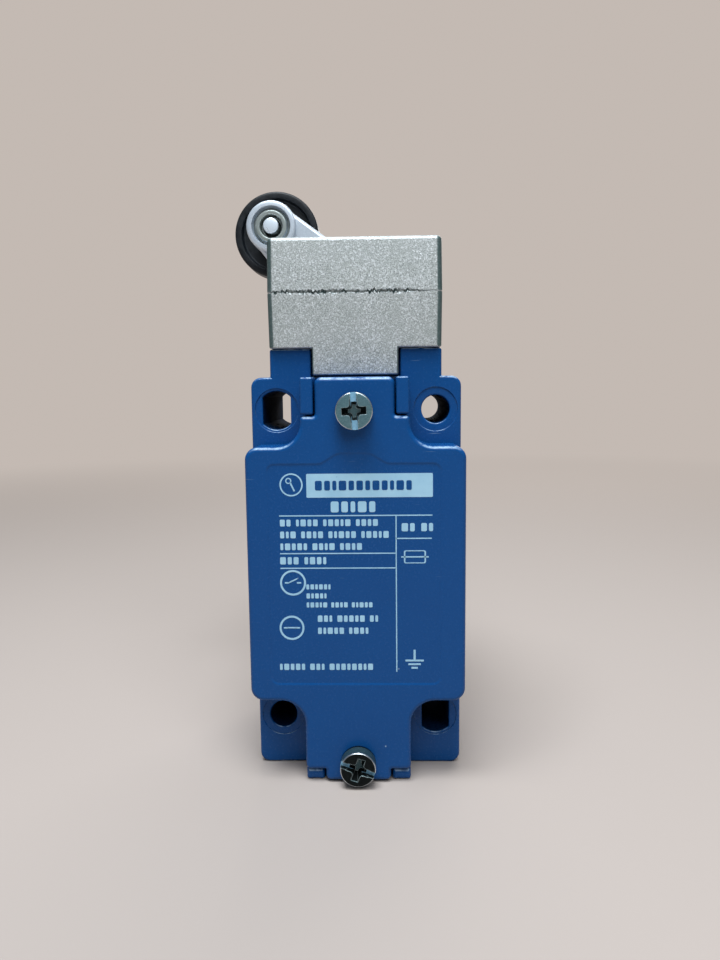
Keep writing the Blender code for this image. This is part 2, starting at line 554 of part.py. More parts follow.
def build_lever_fittings():
    hub = (0, 0, SHAFT_Z)
    end_x, end_z = lever_point(LEVER_LENGTH)
    end = (end_x, 0, end_z)
    teeth = 12
    outline = []
    for i in range(teeth * 4):
        turn = 2 * math.pi * (i + 0.5) / (teeth * 4)
        radius = 8.2 if i % 4 < 2 else 7.5
        outline.append((radius * math.cos(turn), SHAFT_Z + radius * math.sin(turn)))
    washer = prism("notched_washer", outline, (HUB_Y[1] + GAP, 12.0), finish=STEEL)
    cut(washer, cylinder("hole", STUD_R + GAP, (9, 14), hub))
    across_flats = 10.0
    corner_r = across_flats / math.sqrt(3)
    hexagon = [(corner_r * math.cos(math.radians(60 * i + 30)),
                SHAFT_Z + corner_r * math.sin(math.radians(60 * i + 30))) for i in range(6)]
    nut = prism("lever_nut", hexagon, (12.3, 17.3), finish=STEEL)
    chamfer = [(0, 12.0), (5.2, 12.0), (6.2, 13.0), (6.2, 16.6), (5.2, 17.6), (0, 17.6)]
    combine(nut, [turned("chamfer", chamfer, hub, segments=PLAIN)], "INTERSECT")
    cut(nut, cylinder("thread", STUD_R + GAP, (10, 20), hub))
    pin_shape = [(0, PIN_FACE), (PIN_R - 0.25, PIN_FACE), (PIN_R, PIN_FACE + 0.25),
                 (PIN_R, PIN_BACK - 0.6), (3.4, PIN_BACK - 0.6), (3.4, PIN_BACK + 0.2),
                 (3.0, PIN_BACK + 0.6), (0, PIN_BACK + 0.6)]
    pin = turned("roller_pin", pin_shape, end, finish=STEEL)
    bush = ring("roller_bush", PIN_R + GAP, BUSH_R, (END_BACK + GAP, PIN_BACK - 0.9), end,
                segments=PLAIN, finish=BRASS)
    return [smooth(piece) for piece in (washer, nut, pin, bush)]


def build_roller():
    end_x, end_z = lever_point(LEVER_LENGTH)
    front, back = ROLLER_Y
    bore, rim = BUSH_R + RUNNING, ROLLER_R - 1.9
    side = [(bore, 0.2), (4.8, 0.2), (5.4, 1.3), (rim, 1.3), (rim + 0.5, 0.0),
            (ROLLER_R - 0.4, 0.0), (ROLLER_R, 0.4)]
    profile = [(r, front + d) for r, d in side] + [(r, back - d) for r, d in reversed(side)]
    return smooth(turned("roller", profile, (end_x, 0, end_z), segments=SHOWN + 8,
                         finish=ROLLER_PLASTIC))


# ---------------------------------------------------------------------- plunger train
def build_plunger_train():
    mid = (0, HEAD_MID_Y, 0)
    low, high = PISTON_Z
    groove_r, (groove_low, groove_high) = PISTON_GROOVE_R, PISTON_GROOVE_Z
    profile = [(0, low), (PISTON_R - 0.4, low), (PISTON_R, low + 0.4), (PISTON_R, groove_low),
               (groove_r, groove_low), (groove_r, groove_high), (PISTON_R, groove_high),
               (PISTON_R, high - 0.6), (PISTON_R - 0.6, high), (0, high)]
    piston = turned("return_piston", profile, mid, ALONG_Z, PLAIN, PLUNGER_PLASTIC)
    cut(piston, cylinder("rod_socket", ROD_SOCKET_R, (low - 1, ROD_SOCKET_TOP), mid, ALONG_Z,
                         SMALL))
    seal = ring("piston_seal", 4.45, 5.1, (35.5, 36.7), mid, ALONG_Z, PLAIN, SEAL_RUBBER)
    rod = cylinder("pushrod", PUSHROD_R, PUSHROD_Z, mid, ALONG_Z, SMALL, STEEL)
    coil("return_spring", mid, (BORE_FLOOR + GAP, low - GAP), 3.6, 0.32, 3, STEEL)
    return [smooth(piece) for piece in (piston, seal, rod)]


# ---------------------------------------------------------------------- contact block
def build_contact_block():
    block = box("contact_block_housing", (-BLOCK_X, BLOCK_X), BLOCK_Y, BLOCK_Z, BLOCK_PLASTIC)
    cut(block, box("chamber", (-CHAMBER_X, CHAMBER_X), (BLOCK_Y[0] - 1, CHAMBER_BACK), CHAMBER_Z),
        cylinder("stem_hole", STEM_R + RUNNING, (CHAMBER_Z[1] - 1, BLOCK_Z[1] + 1),
                 (0, HEAD_MID_Y, 0), ALONG_Z))
    for side, word in ((-1, "left"), (1, "right")):
        x = side * TERMINAL_X
        cut(block, cylinder("screw_hole", 1.7, (BLOCK_Y[0] - 1, BLOCK_Y[1] + 1),
                            (x, 0, BLOCK_SCREW_Z), segments=SMALL))
        screw(f"block_screw_{word}", (x, BLOCK_Y[0] - GAP, BLOCK_SCREW_Z), ALONG_Y,
              (2.5, 1.9), (1.4, 22.9), (0.8, 0.9), STEEL)
        for kind, strip_z in (("nc", NC_STRIP_Z), ("no", NO_STRIP_Z)):
            middle_z = strip_z + BRIDGE_T / 2
            cut(block, cylinder("terminal_hole", 1.8, (BLOCK_Y[0] - 1, -17),
                                (x, 0, middle_z), segments=SMALL))
            build_terminal(f"{kind}_{word}", side, strip_z)
    return smooth(block)


def build_terminal(label, side, strip_z):
    """Fixed contact bent from strip, with its clamp washer and screw."""
    x = side * TERMINAL_X
    middle_z = strip_z + BRIDGE_T / 2
    front = BLOCK_Y[0] - GAP
    inner = sorted((side * 5.5, side * 9.2))
    plate = sorted((side * 5.5, side * 14.2))
    contact = box(f"fixed_contact_{label}", inner,
                  (front - 0.4, HEAD_MID_Y + BRIDGE_HALF[1]), (strip_z, strip_z + BRIDGE_T),
                  BRASS)
    join(contact, box("plate", plate, (front - 0.9, front), (middle_z - 3, middle_z + 3)))
    cut(contact, cylinder("hole", 1.8, (front - 3, front + 3), (x, 0, middle_z), segments=SMALL))
    smooth(contact)
    washer = box(f"clamp_washer_{label}", (x - 2.9, x + 2.3) if side > 0 else (x - 2.3, x + 2.9),
                 (front - 2.2, front - 1.2), (middle_z - 3.1, middle_z + 3.1), STEEL)
    smooth(cut(washer, cylinder("hole", 1.8, (front - 4, front + 1), (x, 0, middle_z),
                                segments=SMALL)))
    screw(f"terminal_screw_{label}", (x, front - 2.5, middle_z), ALONG_Y, (2.5, 2.0),
          (1.5, 8.6), (0.9, 1.0), STEEL)


def build_contact_carrier():
    mid = (0, HEAD_MID_Y, 0)
    profile = [(0, STEM_TOP), (STEM_R - 0.4, STEM_TOP), (STEM_R, STEM_TOP - 0.4)]
    for bridge_z in (NC_BRIDGE_Z, NO_BRIDGE_Z):
        upper, lower = bridge_z + BRIDGE_T + GAP, bridge_z - GAP
        profile += [(STEM_R, upper), (NECK_R, upper), (NECK_R, lower), (STEM_R, lower)]
    profile += [(STEM_R, -8.0), (NECK_R, -8.0), (NECK_R, -10.8), (0, -10.8)]
    stem = smooth(turned("contact_plunger", profile, mid, ALONG_Z, SMALL, PLUNGER_PLASTIC))
    pieces = [stem]
    for kind, z, dot_side in (("nc", NC_BRIDGE_Z, 1), ("no", NO_BRIDGE_Z, -1)):
        half_x, half_y = BRIDGE_HALF
        bridge = box(f"contact_bridge_{kind}", (-half_x, half_x),
                     (HEAD_MID_Y - half_y, HEAD_MID_Y + half_y), (z, z + BRIDGE_T), SILVER)
        face = z + BRIDGE_T if dot_side > 0 else z
        for side in (-1, 1):
            span = sorted((face - dot_side * 0.3, face + dot_side * 0.5))
            join(bridge, cylinder("dot", 1.1, span, (side * 6.8, HEAD_MID_Y, 0), ALONG_Z, SMALL))
        cut(bridge, cylinder("hole", NECK_R + GAP, (z - 1, z + 2), mid, ALONG_Z, SMALL))
        pieces.append(smooth(bridge))
    coil("contact_spring", mid, (CHAMBER_Z[0] + GAP, -8.0 - GAP), 1.8, 0.28, 4, STEEL, 8)
    return pieces


def build_earth_terminal():
    washer = ring("earth_washer", 1.7, 3.3, (EARTH_POST - 1.2, EARTH_POST - GAP),
                  (EARTH_X, 0, EARTH_Z), segments=SMALL, finish=BRASS)
    screw("earth_screw", (EARTH_X, EARTH_POST - 1.5, EARTH_Z), ALONG_Y, (2.7, 2.1),
          (1.4, 6.6), (0.9, 1.0), BRASS)
    return smooth(washer)


# -------------------------------------------------------------------------- assembly
def build_switch():
    build_body()
    build_cover()
    build_cover_fittings()
    build_head()
    build_head_fittings()
    build_contact_block()
    build_earth_terminal()
    end_x, end_z = lever_point(LEVER_LENGTH)
    turning = build_shaft_and_cam() + [build_lever()] + build_lever_fittings()
    for piece in turning:
        set_origin(piece, (0, 0, SHAFT_Z))
    set_origin(build_roller(), (end_x, 0, end_z))
    for piece in build_plunger_train() + build_contact_carrier():
        set_origin(piece, (0, HEAD_MID_Y, 0))
    to_metres()


build_switch()
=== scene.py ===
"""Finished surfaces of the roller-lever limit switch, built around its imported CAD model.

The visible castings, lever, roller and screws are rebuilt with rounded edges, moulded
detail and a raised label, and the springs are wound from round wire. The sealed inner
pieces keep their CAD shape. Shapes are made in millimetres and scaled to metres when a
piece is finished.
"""
import json
from math import acos, atan2, copysign, cos, hypot, pi, radians, sin, sqrt, tan

import bmesh
import bpy
from mathutils import Matrix, Vector, noise
from numpy import interp


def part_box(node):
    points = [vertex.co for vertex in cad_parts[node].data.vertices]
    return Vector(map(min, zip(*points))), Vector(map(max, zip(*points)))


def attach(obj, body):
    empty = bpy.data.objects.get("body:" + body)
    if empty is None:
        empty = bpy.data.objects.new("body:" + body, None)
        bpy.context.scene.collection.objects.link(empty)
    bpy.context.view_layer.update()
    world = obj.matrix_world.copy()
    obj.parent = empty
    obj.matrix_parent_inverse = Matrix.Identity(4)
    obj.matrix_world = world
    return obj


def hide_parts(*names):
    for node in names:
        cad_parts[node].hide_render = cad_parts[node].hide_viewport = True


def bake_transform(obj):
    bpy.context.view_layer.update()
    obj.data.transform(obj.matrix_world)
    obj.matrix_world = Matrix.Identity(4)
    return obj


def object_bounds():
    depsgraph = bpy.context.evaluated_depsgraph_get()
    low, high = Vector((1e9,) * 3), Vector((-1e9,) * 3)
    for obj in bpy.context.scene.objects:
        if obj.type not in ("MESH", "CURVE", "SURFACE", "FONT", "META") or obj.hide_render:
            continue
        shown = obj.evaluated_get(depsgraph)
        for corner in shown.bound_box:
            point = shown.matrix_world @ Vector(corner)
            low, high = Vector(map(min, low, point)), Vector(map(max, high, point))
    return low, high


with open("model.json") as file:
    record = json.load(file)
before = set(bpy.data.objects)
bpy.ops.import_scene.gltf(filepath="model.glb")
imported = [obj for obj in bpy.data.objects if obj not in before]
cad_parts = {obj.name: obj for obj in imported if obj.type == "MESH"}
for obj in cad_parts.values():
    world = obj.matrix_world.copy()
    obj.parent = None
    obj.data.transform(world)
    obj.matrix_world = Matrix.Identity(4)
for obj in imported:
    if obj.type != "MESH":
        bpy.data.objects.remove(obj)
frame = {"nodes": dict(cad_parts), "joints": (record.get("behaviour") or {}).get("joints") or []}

CAD_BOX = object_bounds()
MM = 0.001


# ---- dimensions from the frame
def corners_of(node):
    """Lowest and highest corner of a CAD node, in millimetres."""
    low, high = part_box(node)
    return low / MM, high / MM


BODY_LOW, BODY_HIGH = corners_of("body_casting")
COVER_LOW, COVER_HIGH = corners_of("cover")
HEAD_LOW, HEAD_HIGH = corners_of("head_casting")
LEVER_LOW, LEVER_HIGH = corners_of("lever")
JOINTS = {joint["name"]: joint for joint in frame["joints"]}
SWING = Vector(JOINTS["lever_swing"]["pos_m"]) / MM
SPIN = Vector(JOINTS["roller_spin"]["pos_m"]) / MM
HUB = Vector((SWING.x, 0, SWING.z))
END = Vector((SPIN.x, 0, SPIN.z))
LEVER_LENGTH = (END - HUB).length
LEVER_HEADING = atan2(END.z - HUB.z, END.x - HUB.x)

GAP = 0.3                       # between pieces that rest on each other
CLEAR = 1.0                     # how far a cutter reaches past the face it enters
FIX_X, FIX_Z = 15.0, 30.0       # half the fixing pattern
FIX_R, SLOT_R = 2.65, 3.65
SPOT_FACE_R, SPOT_FACE_DEPTH = 4.1, 0.2
BODY_TOP, BODY_FRONT = 36.2, -30.0
BACK_WALL = 3.0
SEAT_X, SEAT_BACK = 16.15, -0.4
NOTCH = 8.4
RIB_X, RIB_Z = (7.45, 9.75), (29.4, 36.0)
LUG_X, LUG_TOP, LUG_FRONT = (6.45, 9.9), -37.7, -37.0
ENTRY_R, ENTRY_Y, ENTRY_END = 9.3, -16.0, -20.0
COVER_SHOULDER = 23.6           # top of the wide part of the cover, under the ears
COVER_FOOT = -24.0
COVER_TONGUE_X = 9.9
COVER_SCREWS = ((30.0, -23.5), (-36.0, -26.0))      # height, and depth of the tapping
HEAD_SCREW_X, HEAD_SCREW_Y = 12.4, 11.4
BLOCK_SCREW_X, BLOCK_SCREW_Z = 12.0, 0.6
EARTH = (-4.0, 0, -25.5)
HEAD_REAR, HEAD_BOTTOM = -0.3, BODY_HIGH.z + 0.12
HEAD_MID = Vector((0, (HEAD_LOW.y + HEAD_REAR) / 2, 0))
TONGUE = 8.1
PARTING_Z = HUB.z + 0.2         # the head casting's parting line

ALONG_X, ALONG_Y, ALONG_Z = Vector((1, 0, 0)), Vector((0, 1, 0)), Vector((0, 0, 1))


# ---- shape helpers
def add_object(name, data):
    made = bpy.data.objects.new(name, data)
    bpy.context.scene.collection.objects.link(made)
    return made


def solid(name, bm):
    bmesh.ops.recalc_face_normals(bm, faces=bm.faces)
    mesh = bpy.data.meshes.new(name)
    bm.to_mesh(mesh)
    bm.free()
    return add_object(name, mesh)


def rounded(corners, steps=6):
    """Outline from (a, b, radius) corners; each round becomes an arc that fits its sides."""
    count = len(corners)
    points = [Vector(corner[:2]) for corner in corners]
    halves, reach = [], []
    for i, corner in enumerate(corners):
        before, after = points[i - 1] - points[i], points[(i + 1) % count] - points[i]
        halves.append(max(before.angle(after) / 2, 1e-3))
        reach.append(corner[2] / tan(halves[i]))
    for i in range(count):
        j = (i + 1) % count
        room = 0.98 * (points[j] - points[i]).length
        if reach[i] + reach[j] > room:
            share = room / (reach[i] + reach[j])
            reach[i] *= share
            reach[j] *= share
    outline = []
    for i, point in enumerate(points):
        if corners[i][2] == 0:
            outline.append(tuple(point))
            continue
        before = (points[i - 1] - point).normalized()
        after = (points[(i + 1) % count] - point).normalized()
        start, end = point + before * reach[i], point + after * reach[i]
        radius = reach[i] * tan(halves[i])
        centre = point + (before + after).normalized() * radius / sin(halves[i])
        first, last = start - centre, end - centre
        sweep = atan2(first.x * last.y - first.y * last.x, first.dot(last))
        for k in range(steps + 1):
            turn = sweep * k / steps
            outline.append((centre.x + first.x * cos(turn) - first.y * sin(turn),
                            centre.y + first.x * sin(turn) + first.y * cos(turn)))
    return outline


def inset(corners, distance):
    """Corners with every side moved inwards, and the rounds grown or shrunk to match."""
    count = len(corners)
    points = [Vector(corner[:2]) for corner in corners]
    area = sum(points[i - 1].cross(points[i]) for i in range(count))
    side = 1 if area > 0 else -1
    moved = []
    for i, (a, b, radius) in enumerate(corners):
        along = (points[i] - points[i - 1]).normalized()
        onward = (points[(i + 1) % count] - points[i]).normalized()
        normal = Vector((-along.y, along.x)) * side
        next_normal = Vector((-onward.y, onward.x)) * side
        shift = (normal + next_normal) * distance / (1 + normal.dot(next_normal))
        convex = along.cross(onward) * side > 0
        if radius:
            radius = max(radius - distance if convex else radius + distance, 0.03)
        moved.append((a + shift.x, b + shift.y, radius))
    return moved


def mirrored(right_side):
    return right_side + [(-a, b, radius) for a, b, radius in reversed(right_side)]


def rectangle(a, b, radius):
    return [(a[0], b[0], radius), (a[1], b[0], radius), (a[1], b[1], radius), (a[0], b[1], radius)]


def polar(centre, radius, turn):
    return centre[0] + radius * cos(turn), centre[1] + radius * sin(turn)


def arc(centre, radius, start, end, steps):
    return [polar(centre, radius, start + (end - start) * k / steps) for k in range(steps + 1)]


def edge_round(level, into, size, steps=5):
    """(level, inset) pairs round an edge, from its flat face into the piece."""
    if size == 0:
        return [(level, 0)]
    turns = [pi / 2 * k / steps for k in range(steps + 1)]
    return [(level + into * size * (1 - cos(t)), size * (1 - sin(t))) for t in turns]


def rims(span, rounds, steps=5):
    """(level, inset) pairs through a piece, from one rounded edge to the other."""
    return edge_round(span[0], 1, rounds[0], steps) + edge_round(span[1], -1, rounds[1], steps)[::-1]


def bridge(bm, lower, upper):
    """Faces between two rings of vertices; a ring may be one vertex over and over."""
    for i in range(len(lower)):
        j = (i + 1) % len(lower)
        bm.faces.new(list(dict.fromkeys((lower[i], lower[j], upper[j], upper[i]))))


def loft(name, outline_at, layers, axis="Y"):
    """Stack the outlines that outline_at gives for each (level, inset) pair."""
    bm = bmesh.new()
    place = (lambda a, b, t: (a, t, b)) if axis == "Y" else (lambda a, b, t: (a, b, t))
    rings = [[bm.verts.new(place(a, b, level)) for a, b in outline_at(inward)]
             for level, inward in layers]
    bm.faces.new(rings[0])
    bm.faces.new(rings[-1])
    for lower, upper in zip(rings, rings[1:]):
        bridge(bm, lower, upper)
    return solid(name, bm)


def slab(name, corners, span, rounds=(0, 0), axis="Y", steps=6):
    """Plate with an outline of rounded corners and rounded front and back edges."""
    return loft(name, lambda inward: rounded(inset(corners, inward), steps),
                rims(span, rounds), axis)


def turned(name, profile, centre, axis=ALONG_Y, segments=64, radius_at=None):
    """Turn a (radius, distance) profile about an axis; radius_at can modulate the radius.

    A profile that starts on the axis is open at both ends, and any other one is a loop.
    """
    side = ALONG_X if axis != ALONG_X else ALONG_Y
    other = axis.cross(side)
    bm = bmesh.new()
    turns = [2 * pi * i / segments for i in range(segments)]
    rings = []
    for radius, along in profile:
        foot = Vector(centre) + axis * along
        if radius == 0:
            rings.append([bm.verts.new(foot)] * segments)
            continue
        outs = [radius_at(radius, along, turn) if radius_at else radius for turn in turns]
        rings.append([bm.verts.new(foot + (side * cos(turn) + other * sin(turn)) * out)
                      for turn, out in zip(turns, outs)])
    if profile[0][0]:
        rings.append(rings[0])
    for lower, upper in zip(rings, rings[1:]):
        bridge(bm, lower, upper)
    return solid(name, bm)


def lathe(name, corners, centre, axis=ALONG_Y, segments=64):
    """Solid turned piece from the (radius, distance, round) corners of its outside."""
    ends = (0, corners[0][1], 0), (0, corners[-1][1], 0)
    return turned(name, rounded([ends[0], *corners, ends[1]], 4), centre, axis, segments)


def lathe_tube(name, corners, centre, segments=64):
    """Turned piece along Y from profile corners that go all the way round its wall."""
    return turned(name, rounded(corners, 4), centre, ALONG_Y, segments)


def hole_mouth(radius, level, into, lip):
    """Profile of a hole's rounded mouth, from the face that it opens in inwards."""
    return [(radius + inward, along) for along, inward in edge_round(level, into, lip, 4)]


def hole_wall(radius, span, lip):
    """Profile of a through hole with a rounded mouth at both faces."""
    return [(radius + inward, along) for along, inward in rims(span, (lip, lip), 4)]


def bore(name, centre, parts, axis=ALONG_Y, segments=64):
    """Cutter for a stepped hole, from its (radius, distance) profile points."""
    return turned(name, [(0, parts[0][1]), *parts, (0, parts[-1][1])], centre, axis, segments)


def through(name, centre, radius, span, lip):
    """Cutter for a plain through hole along Y with a rounded mouth at both faces."""
    wall = hole_wall(radius, span, lip)
    return bore(name, centre, [(wall[0][0], span[0] - CLEAR), *wall,
                               (wall[-1][0], span[1] + CLEAR)])


def bake(made):
    """Make a piece's modifiers part of its mesh."""
    evaluated = made.evaluated_get(bpy.context.evaluated_depsgraph_get())
    mesh = bpy.data.meshes.new_from_object(evaluated)
    made.modifiers.clear()
    made.data = mesh


def combine(target, tools, operation):
    for tool in tools:
        modifier = target.modifiers.new("combine", "BOOLEAN")
        modifier.operation = operation
        modifier.object = tool
        bake(target)
        bpy.data.objects.remove(tool, do_unlink=True)


def cut(target, *tools):
    combine(target, tools, "DIFFERENCE")


def join(target, *tools):
    combine(target, tools, "UNION")


def drill(target, centre, radius, span, axis=ALONG_Y):
    """Cut a plain round hole."""
    cut(target, bore("tapping", centre, [(radius, level) for level in span], axis, 24))


def ease(made, width):
    """Round every edge that is still sharp, outside and inside corners alike."""
    places = [vert.co.copy() for vert in made.data.vertices]
    low, high = ([pick(place[i] for place in places) for i in range(3)] for pick in (min, max))
    modifier = made.modifiers.new("ease", "BEVEL")
    modifier.width = width
    modifier.segments = 3
    modifier.limit_method = "ANGLE"
    modifier.angle_limit = radians(60)
    modifier.use_clamp_overlap = False
    bake(made)
    for vert in made.data.vertices:
        vert.co = [min(max(vert.co[i], low[i]), high[i]) for i in range(3)]


def aim(tool, point, axis, turn=0.0):
    """Set a tool that was built about the origin and +Z on a point, facing along an axis."""
    facing = axis.to_track_quat("Z", "Y").to_matrix().to_4x4()
    tool.data.transform(Matrix.Translation(point) @ facing @ Matrix.Rotation(turn, 4, "Z"))
    return tool


def finish_surface(made, finish, crease):
    """Scale a finished piece to metres, shade it and paint it."""
    made.data.transform(Matrix.Scale(MM, 4))
    made.data.materials.clear()
    made.data.materials.append(finish)
    made.data.shade_smooth()
    made.data.set_sharp_from_angle(angle=radians(crease))


def show(made, body, slot, finish, *nodes, crease=32):
    """Finish a piece, fix it to its body and put it in place of its CAD nodes."""
    finish_surface(made, finish, crease)
    weighted = made.modifiers.new("flat_faces", "WEIGHTED_NORMAL")
    weighted.keep_sharp = True
    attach(made, body)
    if nodes:
        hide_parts(*nodes)
    return made


def repaint(made, finish, chosen):
    """Give another finish to the faces of a shown piece that the rule picks.

    The rule gets a face's middle in millimetres and its normal.
    """
    made.data.materials.append(finish)
    index = len(made.data.materials) - 1
    for face in made.data.polygons:
        if chosen(face.center / MM, face.normal):
            face.material_index = index


# ---- finishes
def feed(tree, socket, value):
    """Link a socket to another or set its value; colours are given as three numbers."""
    if isinstance(value, bpy.types.NodeSocket):
        tree.links.new(value, socket)
    else:
        socket.default_value = (*value, 1.0) if socket.type == "RGBA" else value


def add_node(tree, kind, inputs, **settings):
    """Outputs of a new shader node with its settings made and its inputs fed."""
    node = tree.nodes.new("ShaderNode" + kind)
    for name, value in settings.items():
        setattr(node, name, value)
    for name, value in inputs.items():
        feed(tree, node.inputs[name], value)
    return node.outputs


class Finish:
    """A Principled material whose patterns are sized in millimetres on the piece."""

    def __init__(self, name, roughness, metallic=0.0, specular=0.5):
        self.material = bpy.data.materials.new(name)
        self.material.use_nodes = True
        self.tree = self.material.node_tree
        self.shader = self.tree.nodes["Principled BSDF"].inputs
        for socket, value in (("Roughness", roughness), ("Metallic", metallic),
                              ("Specular IOR Level", specular)):
            self.shader[socket].default_value = value
        place = self.add("TexCoord")["Object"]
        self.place = self.add("VectorMath", {0: place, "Scale": 1 / MM},
                              operation="SCALE")[0]
        self.colour = self.normal = None

    def add(self, kind, inputs=None, **settings):
        return add_node(self.tree, kind, inputs or {}, **settings)

    def stretched(self, x, y, z):
        """The piece's coordinates with each axis's pattern lengthened that many times."""
        return self.add("VectorMath", {0: self.place, 1: (x, y, z)}, operation="DIVIDE")[0]

    def grain(self, size, detail=2.0, rough=0.5, distortion=0.0, place=None):
        return self.add("TexNoise", {"Vector": place or self.place, "Scale": 1 / size,
                                     "Detail": detail, "Roughness": rough,
                                     "Distortion": distortion})["Fac"]

    def cells(self, size):
        """Distance from the nearest cell centre, and one random value for each cell."""
        node = self.add("TexVoronoi", {"Vector": self.place, "Scale": 1 / size})
        channel = self.add("SeparateColor", {0: node["Color"]})
        return node["Distance"], channel[0]

    def remap(self, value, low, high, to_low=0.0, to_high=1.0):
        return self.add("MapRange", {"Value": value, "From Min": low, "From Max": high,
                                     "To Min": to_low, "To Max": to_high})["Result"]

    def cloud(self, size, low, high, *texture, **where):
        """A grain with its values from low to high spread over 0 to 1."""
        return self.remap(self.grain(size, *texture, **where), low, high)

    def times(self, first, second, operation="MULTIPLY"):
        return self.add("Math", {0: first, 1: second}, operation=operation)[0]

    def mix(self, share, first, second):
        return self.add("Mix", {"Factor": share, 6: first, 7: second}, data_type="RGBA")[2]

    def edges(self, radius):
        """1 on sharp edges, falling to 0 a radius away from them."""
        rounded_off = self.add("Bevel", {"Radius": radius * MM}, samples=4)[0]
        flat = self.add("NewGeometry")["Normal"]
        node = self.add("VectorMath", {0: rounded_off, 1: flat}, operation="DOT_PRODUCT")
        return self.remap(node["Value"], 0.995, 0.86)

    def facing(self):
        """The three parts of the surface's direction."""
        return self.add("SeparateXYZ", {0: self.add("NewGeometry")["Normal"]})

    def corners(self):
        """1 where an upright face looks diagonally outwards, 0 where it looks square on."""
        x, y, _ = self.facing()
        across = self.times(x, y)
        return self.remap(self.times(across, across), 0.01, 0.10)

    def upper_rims(self):
        """1 along the middle of rounded edges that look up and to the front."""
        _, y, z = self.facing()
        return self.remap(self.times(y, z), -0.33, -0.47)

    def lay(self, mask, share, colour):
        """Cover the colour so far with another one, by a share of the mask."""
        self.colour = self.mix(self.times(mask, share), self.colour, colour)

    def bump(self, height, depth):
        """Add relief of a depth in millimetres on top of the relief so far."""
        inputs = {"Strength": 1.0, "Distance": depth * MM, "Height": height}
        if self.normal:
            inputs["Normal"] = self.normal
        self.normal = self.add("Bump", inputs)[0]

    def relief(self, depth, *texture):
        self.bump(self.grain(*texture), depth)

    def done(self, roughness=None):
        for socket, value in (("Base Color", self.colour), ("Roughness", roughness),
                              ("Normal", self.normal)):
            if value is not None:
                feed(self.tree, self.shader[socket], value)
        return self.material


def blue_paint():
    """Satin epoxy on a casting: slight orange peel, dust nibs, thin spots on the edges, and a
    painted highlight along the upper front edges.
    """
    made = Finish("blue_paint", 0.3, specular=0.2)
    made.colour = made.mix(made.cloud(0.22, 0.3, 0.7, 3.0, 0.6), (0.0030, 0.057, 0.206),
                           (0.0050, 0.071, 0.248))
    made.lay(made.cloud(9.0, 0.3, 0.7), 0.3, (0.0045, 0.056, 0.205))
    distance, chance = made.cells(2.6)
    nib = made.times(made.remap(distance, 0.065, 0.03), made.remap(chance, 0.76, 0.78))
    made.lay(nib, 0.75, (0.45, 0.60, 0.72))
    hair = made.cloud(0.25, 0.735, 0.76, 1.0, place=made.stretched(26, 26, 1))
    made.lay(made.times(hair, made.cloud(7.0, 0.62, 0.70, 1.0)), 0.5, (0.20, 0.32, 0.45))
    worn = made.times(made.edges(0.28), made.cloud(0.8, 0.48, 0.62, 4.0, 0.7))
    made.lay(worn, 0.55, (0.10, 0.20, 0.33))
    # painted highlight: a pale broken line on the rounded edges that look up and to the front, where
    # the top light would glint
    painted_top_highlight = made.times(made.upper_rims(), made.cloud(1.3, 0.36, 0.56, 3.0, 0.6))
    made.lay(painted_top_highlight, 0.75, (0.34, 0.52, 0.70))
    made.relief(0.010, 1.1)
    made.relief(0.0035, 0.16)
    made.bump(nib, 0.03)
    return made.done(made.remap(made.grain(0.5, 3.0), 0.3, 0.7, 0.20, 0.30))


def blasted_zinc():
    """Shot-blasted casting: random bright and dark facets about a third of a millimetre wide, and
    painted dark reflections on the rounded upright corners.
    """
    made = Finish("blasted_zinc", 0.5, metallic=0.55)
    facet = made.cloud(0.15, 0.38, 0.62, 3.0, 0.7, 0.4)
    distance, chance = made.cells(0.24)
    made.colour = made.mix(facet, (0.20, 0.225, 0.220), (0.62, 0.67, 0.68))
    made.lay(made.remap(chance, 0.66, 0.92), 0.5, (0.88, 0.93, 0.96))
    made.lay(made.cloud(5.0, 0.35, 0.65, 3.0), 0.22, (0.32, 0.36, 0.34))
    made.lay(made.edges(0.45), 0.35, (0.62, 0.65, 0.66))
    # painted dark reflection: the rounded upright corners darkened to dark teal
    made.lay(made.corners(), 0.85, (0.035, 0.085, 0.085))
    made.relief(0.05, 0.20, 3.0, 0.6, 0.4)
    made.bump(distance, 0.02)
    return made.done(made.remap(facet, 0.0, 1.0, 0.58, 0.42))


def bright_zinc(name, dark, light):
    """Smooth casting with a thin skin of flow marks."""
    made = Finish(name, 0.3, metallic=0.5)
    flow = made.cloud(1.6, 0.3, 0.7, 4.0, 0.6, 1.2)
    made.colour = made.mix(flow, dark, light)
    made.lay(made.edges(0.35), 0.4, (0.82, 0.86, 0.90))
    made.relief(0.008, 0.5, 3.0)
    made.relief(0.003, 0.12)
    return made.done(made.remap(flow, 0.0, 1.0, 0.40, 0.26))


def dull_steel(name, dark, light, specular=0.5):
    """Dark oxidised plating, rubbed bright on its edges."""
    made = Finish(name, 0.38, metallic=0.6, specular=specular)
    stain = made.cloud(0.45, 0.35, 0.65, 4.0, 0.7, 0.8)
    brushed = made.cloud(0.12, 0.35, 0.65, place=made.stretched(5, 1, 1))
    made.colour = made.mix(made.times(made.times(stain, 0.6), made.times(brushed, 0.4), "ADD"),
                           dark, light)
    rub = made.times(made.edges(0.14), made.cloud(0.5, 0.25, 0.45, 3.0, 0.6))
    made.lay(rub, 0.9, (0.62, 0.74, 0.76))
    made.relief(0.004, 0.12, 3.0)
    return made.done(made.remap(stain, 0.0, 1.0, 0.46, 0.30))


def clouded(name, look, dark, light, cloud, relief, shine=None):
    """Two tones in soft patches with fine relief; the shine can follow the patches."""
    made = Finish(name, *look)
    patches = made.cloud(*cloud)
    made.colour = made.mix(patches, dark, light)
    made.relief(*relief)
    return made.done(made.remap(patches, 0.0, 1.0, *shine) if shine else None)


def tarnished(name, dark, bright):
    """Bright metal strip with a faint tarnish."""
    return clouded(name, (0.3, 1.0), dark, bright, (1.2, 0.35, 0.65, 4.0, 0.6),
                   (0.002, 0.15), (0.42, 0.24))


